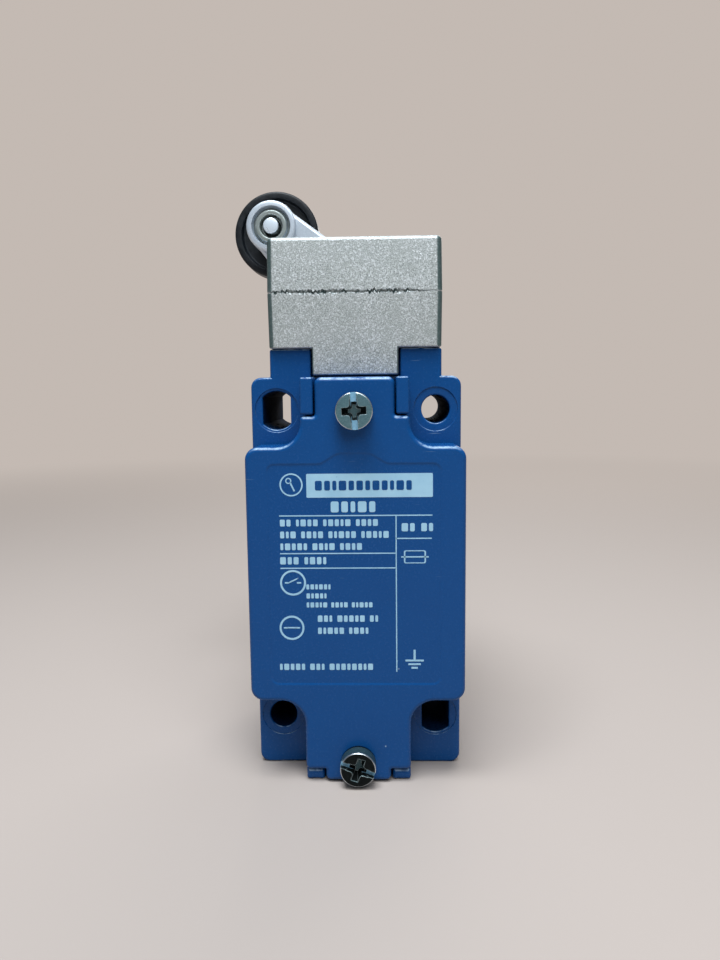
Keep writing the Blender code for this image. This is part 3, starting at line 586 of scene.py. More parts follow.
def moulded(name, dark, light, roughness, texture=0.006):
    """Moulded plastic or rubber with a fine spark-eroded texture."""
    made = Finish(name, roughness)
    drift = made.cloud(2.5, 0.3, 0.7, 3.0)
    speckle = made.cloud(0.2, 0.35, 0.7, 3.0, 0.6)
    made.colour = made.mix(made.times(drift, speckle, "MAXIMUM"), dark, light)
    made.relief(texture, 0.18, 3.0)
    return made.done(made.remap(drift, 0.0, 1.0, roughness - 0.06, roughness + 0.06))


def roller_plastic():
    """Black thermoplastic with light scuffs round the running edge."""
    made = Finish("roller_plastic", 0.42, specular=0.3)
    drift = made.cloud(1.4, 0.3, 0.7, 3.0)
    made.colour = made.mix(drift, (0.004, 0.006, 0.008), (0.009, 0.012, 0.016))
    scuff = made.times(made.edges(0.4), made.cloud(0.35, 0.45, 0.65, 4.0, 0.7))
    made.lay(scuff, 0.5, (0.07, 0.085, 0.10))
    made.relief(0.005, 0.14, 3.0)
    return made.done(made.remap(drift, 0.0, 1.0, 0.36, 0.50))


def label_ink():
    """Pale pad-printed ink with pinholes and a few chips."""
    made = Finish("label_ink", 0.5, specular=0.3)
    made.colour = made.mix(made.cloud(3.0, 0.3, 0.7), (0.30, 0.53, 0.70), (0.36, 0.60, 0.76))
    made.lay(made.cloud(0.35, 0.68, 0.74, 4.0, 0.7), 0.8, (0.05, 0.16, 0.33))
    made.relief(0.003, 0.2)
    return made.done()


PAINT = blue_paint()
# matt paint down the walls of the fixing holes, darker than the body paint as painted shade
SHADED_HOLE_PAINT = clouded("matt_hole_paint_with_painted_shade", (0.85, 0.0, 0.05), (0.0012, 0.012, 0.042),
                     (0.0022, 0.024, 0.078), (0.6, 0.35, 0.65, 3.0), (0.02, 0.25, 3.0))
BLASTED = blasted_zinc()
CAST = bright_zinc("bright_zinc", (0.50, 0.57, 0.65), (0.64, 0.72, 0.80))
# darker zinc for the lever's eye: a duller bush ring, and painted shade at the bottom of the recess
# round the pin
DULL_AND_SHADED_ZINC = bright_zinc("dull_zinc_with_painted_shade", (0.24, 0.28, 0.27), (0.36, 0.41, 0.40))
PIN_END = bright_zinc("pin_face", (0.68, 0.78, 0.88), (0.80, 0.90, 1.0))
STEEL = clouded("plated_steel", (0.28, 0.95), (0.46, 0.50, 0.53), (0.68, 0.72, 0.75),
                (0.9, 0.3, 0.7, 4.0, 0.65), (0.002, 0.10), (0.36, 0.22))
TEAL_STEEL = dull_steel("screw_plating", (0.065, 0.150, 0.185), (0.16, 0.29, 0.33))
# darker plating for the lower screw
DEEP_TEAL_STEEL = dull_steel("darker_screw_plating", (0.025, 0.060, 0.070), (0.07, 0.13, 0.145))
# near-black steel: painted shade on the walls of the screw recesses, and the dark face of the lower
# screw
DARK_STEEL_AND_RECESS_SHADE = dull_steel("dull_steel", (0.003, 0.005, 0.005), (0.012, 0.015, 0.016), 0.12)
# painted reflection: a pale bluish colour on the floor of a slot, for the light it reflects
SLOT_FLOOR_REFLECTION = clouded("slot_floor_painted_reflection", (0.4, 0.3), (0.22, 0.50, 0.72), (0.32, 0.62, 0.86),
                     (0.5, 0.3, 0.7, 3.0), (0.003, 0.10))
WASHER_STEEL = tarnished("washer_steel", (0.17, 0.18, 0.18), (0.34, 0.35, 0.34))
BRASS = tarnished("brass", (0.42, 0.27, 0.09), (0.66, 0.47, 0.19))
SILVER = tarnished("contact_silver", (0.52, 0.49, 0.43), (0.80, 0.78, 0.73))
ROLLER = roller_plastic()
BLOCK = moulded("block_plastic", (0.50, 0.50, 0.46), (0.63, 0.63, 0.59), 0.5)
ACETAL = moulded("plunger_plastic", (0.62, 0.60, 0.52), (0.75, 0.73, 0.66), 0.42, 0.003)
RUBBER = moulded("seal_rubber", (0.010, 0.010, 0.010), (0.026, 0.026, 0.025), 0.7)
INK = label_ink()


# ---- body casting
def cavity_outline(offset):
    """Mouth of the wiring space, grown by an offset."""
    throat, wide = 6.2 + offset, 16.3 + offset
    right = [(throat, 23.5 + offset, 1.0), (throat, 20.6 + offset, 0.8),
             (wide, 20.6 + offset, 1.5), (wide, -21.0 - offset, 1.5),
             (throat, -21.0 - offset, 0.8), (throat, -30.5 - offset, 1.0)]
    return rounded(mirrored(right), 4)


def slotted_circle(x, z, outward):
    """A round hole's outline with flats on its left and right, grown by a distance."""
    radius, flat = SLOT_R + outward, FIX_R + outward
    limit = acos(flat / radius)
    return (arc((x, z), radius, limit, pi - limit, 20)
            + arc((x, z), radius, pi + limit, 2 * pi - limit, 20))


def seat_corners():
    """Plan of the head's seat: a rectangle with a notch in the middle of each side."""
    x, front, back = SEAT_X, BODY_FRONT, SEAT_BACK
    side, notch_front, notch_back = HEAD_HIGH.x - 2.6, HEAD_LOW.y + 3.4, HEAD_REAR - 2.7
    low, high = HEAD_MID.y - NOTCH, HEAD_MID.y + NOTCH
    right = [(NOTCH, notch_front, 0.3), (NOTCH, front, 0.35), (x, front, 0.8), (x, low, 0.35),
             (side, low, 0.3), (side, high, 0.3), (x, high, 0.35), (x, back, 0.8),
             (NOTCH, back, 0.35), (NOTCH, notch_back, 0.3)]
    return mirrored(right)


def fixing_hole(x, z, slotted):
    """Cutters for a fixing hole in its spot face, round or with flats on its sides."""
    face = BODY_FRONT + SPOT_FACE_DEPTH
    lip = 0.3
    mouth = hole_mouth(SPOT_FACE_R, BODY_FRONT, 1, 0.15)
    sunk = [(mouth[0][0], BODY_FRONT - CLEAR), *mouth, (SPOT_FACE_R, face)]
    if not slotted:
        parts = [*sunk, *hole_wall(FIX_R, (face, 0), lip), (FIX_R + lip, CLEAR)]
        return [bore("fixing_hole", (x, 0, z), parts)]
    layers = [(face - CLEAR, lip), *rims((face, 0), (lip, lip)), (CLEAR, lip)]
    return [bore("spot_face", (x, 0, z), sunk),
            loft("fixing_slot", lambda out: slotted_circle(x, z, out), layers)]


def in_fixing_hole(place, normal):
    """Whether a face of the body is on the wall of a fixing hole."""
    beside = hypot(abs(place.x) - FIX_X, abs(place.z) - FIX_Z)
    skin = 1.0
    return beside < SLOT_R + 0.1 and BODY_FRONT + skin < place.y < -skin and abs(normal.y) < 0.5


def build_body():
    outline = mirrored([(BODY_HIGH.x, BODY_TOP, 1.9), (BODY_HIGH.x, BODY_LOW.z, 1.9)])
    body = slab("body", outline, (BODY_FRONT, 0), (0.55, 0.4))
    join(body, slab("seat", seat_corners(), (BODY_TOP - 3, BODY_HIGH.z), (0, 0.4), "Z", 4))
    for side in (-1, 1):
        rib = rectangle(sorted(side * x for x in RIB_X), RIB_Z, 0.35)
        lug = rectangle(sorted(side * x for x in LUG_X), (BODY_LOW.z, LUG_TOP), 0.45)
        join(body, slab("rib", rib, (BODY_LOW.y, BODY_FRONT + 1), (0.4, 0), steps=4),
             slab("lug", lug, (LUG_FRONT, BODY_FRONT + 1), (0.9, 0), steps=4))
    ease(body, 0.25)
    cut(body, loft("cavity", cavity_outline, [(BODY_FRONT - CLEAR, 0), (-BACK_WALL, 0)]))
    mouth = hole_mouth(ENTRY_R, BODY_LOW.z, 1, 0.8)
    parts = [(mouth[0][0], BODY_LOW.z - CLEAR), *mouth, (ENTRY_R, ENTRY_END)]
    cut(body, bore("entry", (0, ENTRY_Y, 0), parts, ALONG_Z, 96))
    for x, z, slotted in ((-FIX_X, FIX_Z, True), (FIX_X, FIX_Z, False),
                          (FIX_X, -FIX_Z, True), (-FIX_X, -FIX_Z, False)):
        cut(body, *fixing_hole(x, z, slotted))
    rod_floor, bore_floor, rod_bore, piston_bore = 22.5, 27.5, 1.9, 5.3
    parts = [(rod_bore, rod_floor), (rod_bore, bore_floor), (piston_bore, bore_floor),
             (piston_bore, BODY_HIGH.z + CLEAR)]
    cut(body, bore("plunger_bore", HEAD_MID, parts, ALONG_Z))
    for side in (-1, 1):
        for y in (-HEAD_SCREW_Y, HEAD_SCREW_Y):
            drill(body, HEAD_MID + Vector((side * HEAD_SCREW_X, y, 0)), 1.95,
                  (34.6, BODY_HIGH.z + CLEAR), ALONG_Z)
        drill(body, (side * BLOCK_SCREW_X, 0, BLOCK_SCREW_Z), 1.7, (-BACK_WALL - CLEAR, -1.1))
    for z, depth in COVER_SCREWS:
        drill(body, (0, 0, z), 2.2, (BODY_FRONT - CLEAR, depth))
    join(body, bore("earth_post", EARTH, [(3.0, -10.0), (3.0, -2.0)], segments=32))
    drill(body, EARTH, 1.7, (-10.0 - CLEAR, -4.0))
    show(body, "housing", "blue_paint", PAINT, "body_casting")
    # painted shade: the walls of the fixing holes get a darker matt blue
    repaint(body, SHADED_HOLE_PAINT, in_fixing_hole)


# ---- cover
def cover_corners():
    rib_side, rib_foot, lug_side = RIB_X[0] - GAP, RIB_Z[0] - GAP, LUG_X[0] - GAP
    tongue, wide = COVER_TONGUE_X, COVER_HIGH.x
    right = [(rib_side, COVER_HIGH.z, 1.2), (rib_side, rib_foot, 0.4), (tongue, rib_foot, 0.7),
             (tongue, COVER_SHOULDER, 4.3), (wide, COVER_SHOULDER, 2.4), (wide, COVER_FOOT, 2.4),
             (tongue, COVER_FOOT, 4.6), (tongue, LUG_TOP + GAP, 0.9),
             (lug_side, LUG_TOP + GAP, 0.3), (lug_side, COVER_LOW.z, 1.0)]
    return mirrored(right)


def label_corners():
    """Shallow label field with a hump in the middle of its top edge."""
    left, right, top, foot = -15.8, 15.2, 20.3, -20.4
    middle, hump = -0.25, 1.9
    return [(left, foot, 1.2), (right, foot, 1.2), (right, top, 1.2), (middle + 5.9, top, 3.0),
            (middle + 2.9, top + hump, 3.0), (middle - 2.9, top + hump, 3.0),
            (middle - 5.9, top, 3.0), (left, top, 1.2)]


LABEL_DEPTH = 0.14


def build_cover():
    front, back = COVER_LOW.y, COVER_HIGH.y
    cover = slab("cover_shell", cover_corners(), (front, back), (0.85, 0.25), steps=10)
    step = LABEL_DEPTH
    layers = [(front - CLEAR, -0.45), (front, -0.45), (front + step * 0.15, -0.3),
              (front + step * 0.85, -0.1), (front + step, 0.05)]
    wall, step_depth, inside, step_side = 2.2, 1.6, -0.8, 2.2
    cut(cover, loft("field", lambda inward: rounded(inset(label_corners(), inward), 10), layers),
        loft("hollow", cavity_outline, [(front + wall, inside), (back + CLEAR, inside)]),
        loft("gasket_step", cavity_outline, [(back - step_depth, step_side),
                                             (back + CLEAR, step_side)]))
    seat, well_r, hole_r = front + 0.9, 3.2, 2.3
    mouth = hole_mouth(well_r, front, 1, 0.2)
    parts = [(mouth[0][0], front - CLEAR), *mouth, (well_r, seat), (hole_r, seat),
             (hole_r, back + CLEAR)]
    for z, _ in COVER_SCREWS:
        cut(cover, bore("screw_hole", (0, 0, z), parts))
    show(cover, "housing", "blue_paint", PAINT, "cover")


# ---- label print
def print_plate(bm, outlines, face):
    """Thin raised print between an outer outline and an optional inner one."""
    depth, sunk = 0.02, 0.015
    rings = [[bm.verts.new((a, level, b)) for a, b in outline]
             for outline in outlines for level in (face, face - depth - sunk)]
    order = (0, 1)
    if len(outlines) == 1:
        bm.faces.new(rings[0])
        bm.faces.new(rings[1])
    else:
        order = (0, 1, 3, 2, 0)
    for lower, upper in zip(order, order[1:]):
        bridge(bm, rings[lower], rings[upper])


def bar(left, right, middle, height, radius=0.05):
    return rounded(rectangle((left, right), (middle - height / 2, middle + height / 2), radius), 3)


def ring(x, z, radius, line, steps=48):
    """Outer and inner circle of a ring."""
    turns = [2 * pi * k / steps for k in range(steps)]
    return [[polar((x, z), r, turn) for turn in turns] for r in (radius, radius - line)]


# left end, height above the origin, block height, and the number of blocks in each word
TEXT_ROWS = ((-13.8, 9.8, 1.25, (2, 4, 5, 4)), (-13.8, 7.6, 1.25, (3, 4, 5, 5)),
             (-13.8, 5.4, 1.25, (5, 4, 4)), (-13.9, 2.8, 1.35, (3, 4)),
             (-9.2, -2.1, 0.95, (6,)), (-9.2, -3.8, 0.95, (5,)), (-9.2, -5.5, 0.95, (5, 4, 5)),
             (-7.2, -8.1, 1.2, (3, 5, 2)), (-7.2, -10.4, 1.2, (5, 4)),
             (-14.4, -17.3, 1.2, (5, 3, 8)), (8.3, 8.9, 1.5, (2, 2)))
TITLE_ROW = (-4.5, 12.7, 2.0, (5,))
BANNER_ROW = (-7.3, 16.6, 1.75, (12,))
BLOCK_WIDTHS = (0.72, 0.60, 0.42, 0.78, 0.56, 0.68, 0.50)   # of a block's height, in turn
BLOCK_GAP, WORD_GAP = 0.24, 0.55
RULES = ((-13.9, 13.87, 11.1), (7.27, 13.78, 6.85), (-13.9, 7.25, 4.13), (-13.9, 7.25, 1.4))
RULE_WIDTH = 0.2


def text_blocks(row, start=0):
    """Small plain blocks in the rhythm of a line of print."""
    left, middle, height, words = row
    outlines, count = [], start
    for word in words:
        for _ in range(word):
            width = BLOCK_WIDTHS[count % len(BLOCK_WIDTHS)] * height
            outlines.append([bar(left, left + width, middle, height, height * 0.16)])
            left += width + BLOCK_GAP * height
            count += 1
        left += WORD_GAP * height
    return outlines


def contact_sign(x, z, lift):
    """A switch contact between two leads, open by a lift."""
    blade = [(x - 0.8, z - 0.1, 0.05), (x + 0.8, z - 0.1 + lift, 0.05),
             (x + 0.8, z + 0.14 + lift, 0.05), (x - 0.8, z + 0.14, 0.05)]
    return [[bar(x - 1.5, x - 0.7, z, 0.26)], [bar(x + 0.7, x + 1.5, z, 0.26)],
            [rounded(blade, 2)]]


def label_signs():
    """Rules, banner, and generic signs, each an outline with an optional hole."""
    signs = [[bar(left, right, z, RULE_WIDTH)] for left, right, z in RULES]
    signs += [[rounded(rectangle((7.2, 7.4), (-18.26, 11.0), 0.05), 3)],
              [rounded(rectangle((-8.85, 13.95), (14.41, 18.75), 0.2), 4)],
              ring(-11.61, 16.77, 2.1, 0.26), ring(-11.63, -1.32, 2.39, 0.36),
              ring(-12.0, -9.82, 2.3, 0.36)]
    # lever and roller in the top ring, contacts in the lower ones
    signs += [ring(-12.1, 17.5, 0.55, 0.2),
              [rounded([(-11.9, 17.1, 0.05), (-11.65, 17.25, 0.05), (-10.9, 15.65, 0.05),
                        (-11.15, 15.55, 0.05)], 2)]]
    signs += contact_sign(-11.63, -1.32, 0.75) + contact_sign(-12.0, -9.82, 0.0)
    # fuse and earth in the right column
    fuse_x, fuse_z, earth_x = 10.7, 3.43, 10.6
    signs.append([rounded(rectangle((fuse_x - half, fuse_x + half),
                                    (fuse_z - half * 0.6, fuse_z + half * 0.6), corner), 4)
                  for half, corner in ((2.0, 0.3), (1.74, 0.2))])
    signs += [[bar(8.2, 13.2, fuse_z, 0.24)], [bar(10.4, 10.8, -15.0, 1.9)]]
    return signs + [[bar(earth_x - half, earth_x + half, -16.1 - drop, 0.34, 0.08)]
                    for drop, half in ((0.0, 1.7), (0.7, 1.15), (1.4, 0.6))]


def build_print():
    face = COVER_LOW.y + LABEL_DEPTH + 0.01
    shapes = text_blocks(TITLE_ROW)
    for start, row in enumerate(TEXT_ROWS):
        shapes += text_blocks(row, start)
    for name, outlines, level, finish in (
            ("label_print", shapes + label_signs(), face, INK),
            ("label_banner_marks", text_blocks(BANNER_ROW), face - 0.03, PAINT)):
        bm = bmesh.new()
        for outline in outlines:
            print_plate(bm, outline, level)
        show(solid(name, bm), "housing", "blue_paint", finish)


# ---- head
def perimeter(corners, spacing):
    """Evenly spaced points and outward normals round an outline of rounded corners."""
    outline = [Vector(point) for point in rounded(corners, 8)]
    stations = []
    for i, point in enumerate(outline):
        onward = outline[(i + 1) % len(outline)] - point
        count = max(1, round(onward.length / spacing))
        for k in range(count):
            normal = Vector((onward.y, -onward.x)).normalized()
            stations.append((point + onward * k / count, normal))
    return stations


def parting_cut(corners):
    """Ragged V groove left where the casting's flash was trimmed."""
    bm = bmesh.new()
    rings = []
    for point, normal in perimeter(corners, 0.15):
        where = Vector((point.x, point.y, 0))
        torn = min(1.0, max(0.0, noise.noise(where * 0.12 + Vector((3.1, 0, 0))) * 1.8 + 0.75))
        if point.y < HEAD_LOW.y + 1:
            torn = min(1.0, max(0.0, (15.5 - abs(point.x + 1.5)) / 5))
        fine, coarse = noise.noise(where * 2.3), noise.noise(where * 0.35)
        z = PARTING_Z + 0.20 * coarse + 0.42 * torn * fine
        depth = 0.22 + torn * (0.15 + 0.30 * abs(noise.noise(where * 3.1)))
        half = 0.11 + torn * (0.12 + 0.45 * abs(noise.noise(where * 2.7)))
        clear = 0.3
        spread = half * (depth + clear) / depth
        out, into = point + normal * clear, point - normal * depth
        rings.append([bm.verts.new((out.x, out.y, z + spread)),
                      bm.verts.new((into.x, into.y, z + 0.5 * half * fine)),
                      bm.verts.new((out.x, out.y, z - spread))])
    for i, ring_verts in enumerate(rings):
        bridge(bm, ring_verts, rings[(i + 1) % len(rings)])
    return solid("parting_cut", bm)


def build_head():
    plan = rectangle((HEAD_LOW.x, HEAD_HIGH.x), (HEAD_LOW.y, HEAD_REAR), 1.2)
    foot, mid, reach = BODY_TOP + GAP, HEAD_MID.y, 30.0
    head = slab("head", plan, (foot, HEAD_HIGH.z), (0, 0.8), "Z", 8)
    side_wall, front_wall, rear_wall = 2.3, 3.1, 2.4
    cut(head, slab("seat", rectangle((HEAD_LOW.x + side_wall, HEAD_HIGH.x - side_wall),
                                     (HEAD_LOW.y + front_wall, HEAD_REAR - rear_wall), 0),
                   (foot - CLEAR, HEAD_BOTTOM), axis="Z"))
    for x in ((-reach, -TONGUE), (TONGUE, reach)):
        for y in ((mid - reach, mid - TONGUE), (mid + TONGUE, mid + reach)):
            cut(head, slab("corner", rectangle(x, y, 0), (foot - CLEAR, HEAD_BOTTOM), axis="Z"))
    ease(head, 0.3)
    cut(head, parting_cut(plan))
    boss_r = 9.0
    boss = [(boss_r, HEAD_REAR - 1, 0), (boss_r, HEAD_HIGH.y, 0.5)]
    join(head, lathe("boss", boss, HUB, segments=96))
    room_x, room_y, room_top = 8.5, 9.8, 59.6
    nose_r, bush_r, seal_r, seal_seat = 3.1, 7.0, 8.0, -0.6
    seal_mouth = hole_mouth(seal_r, HEAD_HIGH.y, -1, 0.25)[::-1]
    cut(head, slab("room", rectangle((-room_x, room_x), (mid - room_y, mid + room_y), 0.6),
                   (foot - 2, room_top), axis="Z"),
        bore("nose_bore", HUB, [(nose_r, -28.5), (nose_r, mid - room_y + CLEAR)]),
        bore("shaft_bore", HUB, [(bush_r, mid + room_y - CLEAR), (bush_r, seal_seat),
                                 (seal_r, seal_seat), *seal_mouth,
                                 (seal_mouth[-1][0], HEAD_HIGH.y + CLEAR)]))
    hole_r, well_r, seat = 2.0, 2.8, 46.0
    mouth = hole_mouth(well_r, HEAD_HIGH.z, -1, 0.3)[::-1]
    parts = [(hole_r, HEAD_BOTTOM - CLEAR), (hole_r, seat), (well_r, seat), *mouth,
             (mouth[-1][0], HEAD_HIGH.z + CLEAR)]
    for x in (-HEAD_SCREW_X, HEAD_SCREW_X):
        for y in (-HEAD_SCREW_Y, HEAD_SCREW_Y):
            cut(head, bore("counterbore", HEAD_MID + Vector((x, y, 0)), parts, ALONG_Z, 48))
    taper_head(head)
    show(head, "housing", "blasted_zinc", BLASTED, "head_casting")


def taper_head(head):
    """Draft of the two die halves: the outer walls lean in away from the parting line."""
    draft, skin = 0.014, 14.0
    for vert in head.data.vertices:
        x, y = vert.co.x, vert.co.y - HEAD_MID.y
        if max(abs(x), abs(y)) < skin or vert.co.y > HEAD_REAR + 0.05:
            continue
        lean = draft * abs(vert.co.z - PARTING_Z)
        vert.co.x -= copysign(lean * min(1, abs(x) / skin), x)
        vert.co.y -= copysign(lean * min(1, abs(y) / skin), y)


# ---- screws
def lip_layers(lip):
    """(level, inset) pairs of a recess's rounded mouth, in a face at level zero."""
    return [(-1.0, -lip)] + [(level, inward - lip) for level, inward in
                             ((0.0, 0.0), (lip * 0.3, lip * 0.7), (lip, lip))]


def cross_recess(arm, width, depth, flare):
    """Cutter for a cross recess whose arms shorten and narrow towards the bottom."""
    def outline_at(inward):
        long, half = arm - inward, width - inward / 3
        right = [(half, long, 0.12), (half, half, flare), (long, half, 0.12),
                 (long, -half, 0.12), (half, -half, flare), (half, -long, 0.12)]
        return rounded(mirrored(right), 4)
    return loft("cross", outline_at, lip_layers(0.15) + [(depth, depth * 0.5)], "Z")


def screw(node, seat, axis, radius, height, slot, turn, cross, shank):
    """Cheese head with a slot and a cross recess on a plain shank; slot is (width, depth)."""
    made = lathe(node + "_finished", [(radius, -height, 0.28), (radius, 0, 0.1)], seat, axis)
    top, reach = seat - axis * height, radius + 1
    sides = rectangle((-reach, reach), (-slot[0] / 2, slot[0] / 2), 0)
    groove = loft("slot", lambda inward: rounded(inset(sides, inward)),
                  lip_layers(0.08) + [(slot[1], 0)], "Z")
    cut(made, aim(groove, top, axis, turn), aim(cross, top, axis, turn))
    join(made, turned("shank", [(0, -0.5), (shank[0][0], -0.5), *shank, (0, shank[-1][1])],
                      seat, axis, 32))
    return made


def paint_recess(made, seat, axis, radius, height, depths, dark_face, floor, wall, rim):
    """Give a shown screw its own finishes: a painted pale reflection on the slot floors, painted
    shade on the recess walls, a dark face if asked, and a worn rim.
    """
    for finish in (floor, wall, rim):
        made.data.materials.append(finish)
    top = seat - axis * height
    for face in made.data.polygons:
        offset = face.center / MM - top
        level, facing = offset.dot(axis), -face.normal.dot(axis)
        out = (offset - axis * level).length
        if facing > 0.99 and any(abs(level - depth) < 0.05 for depth in depths):
            face.material_index = 1
        elif dark_face and facing > 0.97 and level < 0.1:
            face.material_index = 2
        # painted shade down the walls of the slot and the cross recess
        elif facing < 0.8 and 0.1 < level < max(depths) and out < radius - 0.1:
            face.material_index = 2
        elif 0.1 < facing < 0.97 and level < 0.3 and out > radius - 0.35:
            face.material_index = 3


def build_screws():
    slot_depth, cross_depth = 1.1, 2.7
    for label, turn, plating in (("top", 87, TEAL_STEEL), ("bottom", 19, DEEP_TEAL_STEEL)):
        node = f"cover_screw_{label}"
        low, high = corners_of(node)
        seat = Vector(((low.x + high.x) / 2, COVER_LOW.y - GAP, (low.z + high.z) / 2))
        radius, height, length = (high.x - low.x) / 2, seat.y - low.y, high.y - seat.y
        made = screw(node, seat, ALONG_Y, radius, height, (1.1, slot_depth), radians(turn),
                     cross_recess(2.15, 0.66, cross_depth, 0.6),
                     [(1.9, length - 0.6), (1.3, length)])
        show(made, "housing", "dull_steel", plating, node)
        paint_recess(made, seat, ALONG_Y, radius, height, (slot_depth, cross_depth),
                     label == "bottom", SLOT_FLOOR_REFLECTION, DARK_STEEL_AND_RECESS_SHADE, STEEL)
    for corner, turn in (("front_left", 20), ("front_right", 75), ("rear_left", -35),
                         ("rear_right", 50)):
        node = f"head_screw_{corner}"
        low, high = corners_of(node)
        height = 2.4
        seat = Vector(((low.x + high.x) / 2, (low.y + high.y) / 2, high.z - height))
        made = screw(node, seat, -ALONG_Z, (high.x - low.x) / 2, height, (0.9, 1.0),
                     radians(turn), cross_recess(1.7, 0.42, 1.4, 0.35),
                     [(1.65, seat.z - low.z)])
        show(made, "housing", "plated_steel", STEEL, node)


# ---- lever and roller
def point_along(distance):
    return polar((HUB.x, HUB.z), distance, LEVER_HEADING)


def tapered_arm(end_distance, hub_r, end_r, start_distance=0.0):
    """Outline of two circles on the lever's centre line and their common tangents."""
    hub, end = point_along(start_distance), point_along(end_distance)
    spread = acos((hub_r - end_r) / (end_distance - start_distance))
    heading = LEVER_HEADING
    return (arc(end, end_r, heading - spread, heading + spread, 24)
            + arc(hub, hub_r, heading + spread, heading + 2 * pi - spread, 40))


def build_lever():
    hub_r, end_r, boss_r, pin_r = 9.9, 5.7, 4.0, 2.05
    hub_front, hub_back = 3.6, LEVER_HIGH.y - 2.1
    arm_front, arm_back = 4.4, 9.0
    lever = loft("lever_arm", lambda d: tapered_arm(LEVER_LENGTH, hub_r - 0.4 - d,
                                                    end_r - 0.35 - d),
                 rims((arm_front, arm_back), (0.8, 0.8)))
    hub = [(hub_r, hub_front, 0.5), (hub_r, hub_back, 0.6)]
    face, boss_back = LEVER_LOW.y, LEVER_HIGH.y
    end = [(end_r, face, 0.55), (end_r, arm_back, 0.6), (boss_r, arm_back, 0.6),
           (boss_r, boss_back, 0.25)]
    join(lever, lathe("hub", hub, HUB, segments=96), lathe("end", end, END, segments=96))
    pocket = [(arm_back + 3, -0.4), (arm_back, -0.4), (arm_back - 1.2, 0), (arm_back - 1.6, 0.4)]
    eye = [(4.9, face - 1, 0), (4.45, face + 0.1, 0.45), (4.1, face + 1.7, 0.25),
           (3.65, face + 1.7, 0.2), (3.6, face + 0.3, 0.3), (2.6, face + 0.3, 0.25),
           (2.5, face + 2.6, 0.3)]
    cut(lever, loft("pocket", lambda d: tapered_arm(18.6, 4.6 - d, 3.2 - d, 13.4), pocket),
        through("spigot_bore", HUB, 4.9, (hub_front, hub_back), 0.3),
        lathe("eye", eye, END, segments=96),
        bore("pin_hole", END, [(pin_r, face), (pin_r, boss_back + CLEAR)]))
    show(lever, "lever", "bright_zinc", CAST, "lever")

    def in_eye(place, _):
        out, deep = hypot(place.x - END.x, place.z - END.z), place.y - face
        return out < 3.62 and deep < 2.7 or out < 4.2 and 1.4 < deep < 2.7
    # the boss ring is a duller zinc, and the deep groove floor gets painted shade
    repaint(lever, DULL_AND_SHADED_ZINC, in_eye)


def build_roller():
    low, high = corners_of("roller")
    radius, bush_r = (high.x - low.x) / 2, 3.1
    rim = radius - 1.9
    side = [(bush_r, 0.2, 0.15), (4.8, 0.2, 0.25), (5.2, 1.3, 0.4), (rim, 1.3, 0.5),
            (rim + 0.3, 0.0, 0.35), (radius, 0.0, 0.55)]
    profile = ([(r, low.y + d, size) for r, d, size in side]
               + [(r, high.y - d, size) for r, d, size in reversed(side)])
    show(lathe_tube("roller_wheel", profile, END, 128), "roller", "roller_plastic", ROLLER,
         "roller")


def build_pin_and_bush():
    low, high = corners_of("roller_pin")
    pin_r, far_r = 1.75, 3.4
    far_face = high.y - 1.2
    pin = [(pin_r, low.y, 0.3), (pin_r, far_face, 0), (far_r, far_face, 0.2),
           (far_r, high.y, 0.6)]
    made = show(lathe("roller_pin_finished", pin, END), "lever", "plated_steel", STEEL,
                "roller_pin")
    repaint(made, PIN_END, lambda place, _: place.y < low.y + 0.4)
    inner, outer = 2.05, 3.0
    low, high = corners_of("roller_bush")
    bush = [(inner, low.y, 0.1), (outer, low.y, 0.15), (outer, high.y, 0.15),
            (inner, high.y, 0.1)]
    show(lathe_tube("roller_bush_finished", bush, END), "lever", "brass", BRASS, "roller_bush")


def helix(pitch, depth, start, end):
    """Radius rule of a screw thread between two distances along the axis."""
    def radius_at(radius, along, turn):
        if not start < along < end:
            return radius
        phase = (along / pitch - turn / (2 * pi)) % 1.0
        return radius - depth * abs(2 * phase - 1)
    return radius_at


def build_shaft():
    low, high = corners_of("shaft")
    stud_start, stud_end = 10.6, high.y
    shape = [(0, low.y, 0), (3.0, low.y, 0.3), (3.0, -25.3, 0), (4.0, -25.1, 0),
             (4.0, -7.6, 0), (5.0, -7.4, 0), (5.0, 2.6, 0.2), (4.6, 2.9, 0),
             (4.6, stud_start, 0.2), (0, stud_start, 0)]
    shape = rounded(shape, 3)[:-1]
    pitch, rings_per_turn = 1.0, 12
    steps = int((stud_end - 0.6 - stud_start) / pitch * rings_per_turn)
    shape += [(3.0, stud_start + 0.01 + pitch * k / rings_per_turn) for k in range(steps)]
    shape += [(2.9, stud_end - 0.45), (2.5, stud_end), (0, stud_end)]
    thread = helix(pitch, 0.5, stud_start + 0.3, stud_end - 0.5)
    show(turned("shaft_finished", shape, HUB, radius_at=thread), "lever",
         "plated_steel", STEEL, "shaft", crease=50)


def build_washer():
    low, high = corners_of("notched_washer")
    teeth, outer, inner = 12, 8.2, 7.5

    def toothed(inward):
        outline = []
        for i in range(teeth * 16):
            turn = 2 * pi * i / (teeth * 16)
            share = max(0.0, min(1.0, 0.5 + 1.6 * sin(teeth * turn)))
            radius = inner + (outer - inner) * share - inward
            outline.append(polar((HUB.x, HUB.z), radius, turn))
        return outline

    washer = loft("washer", toothed, rims((low.y, high.y), (0.15, 0.15)))
    cut(washer, through("hole", HUB, 3.3, (low.y, high.y), 0.1))
    show(washer, "lever", "plated_steel", WASHER_STEEL, "notched_washer")


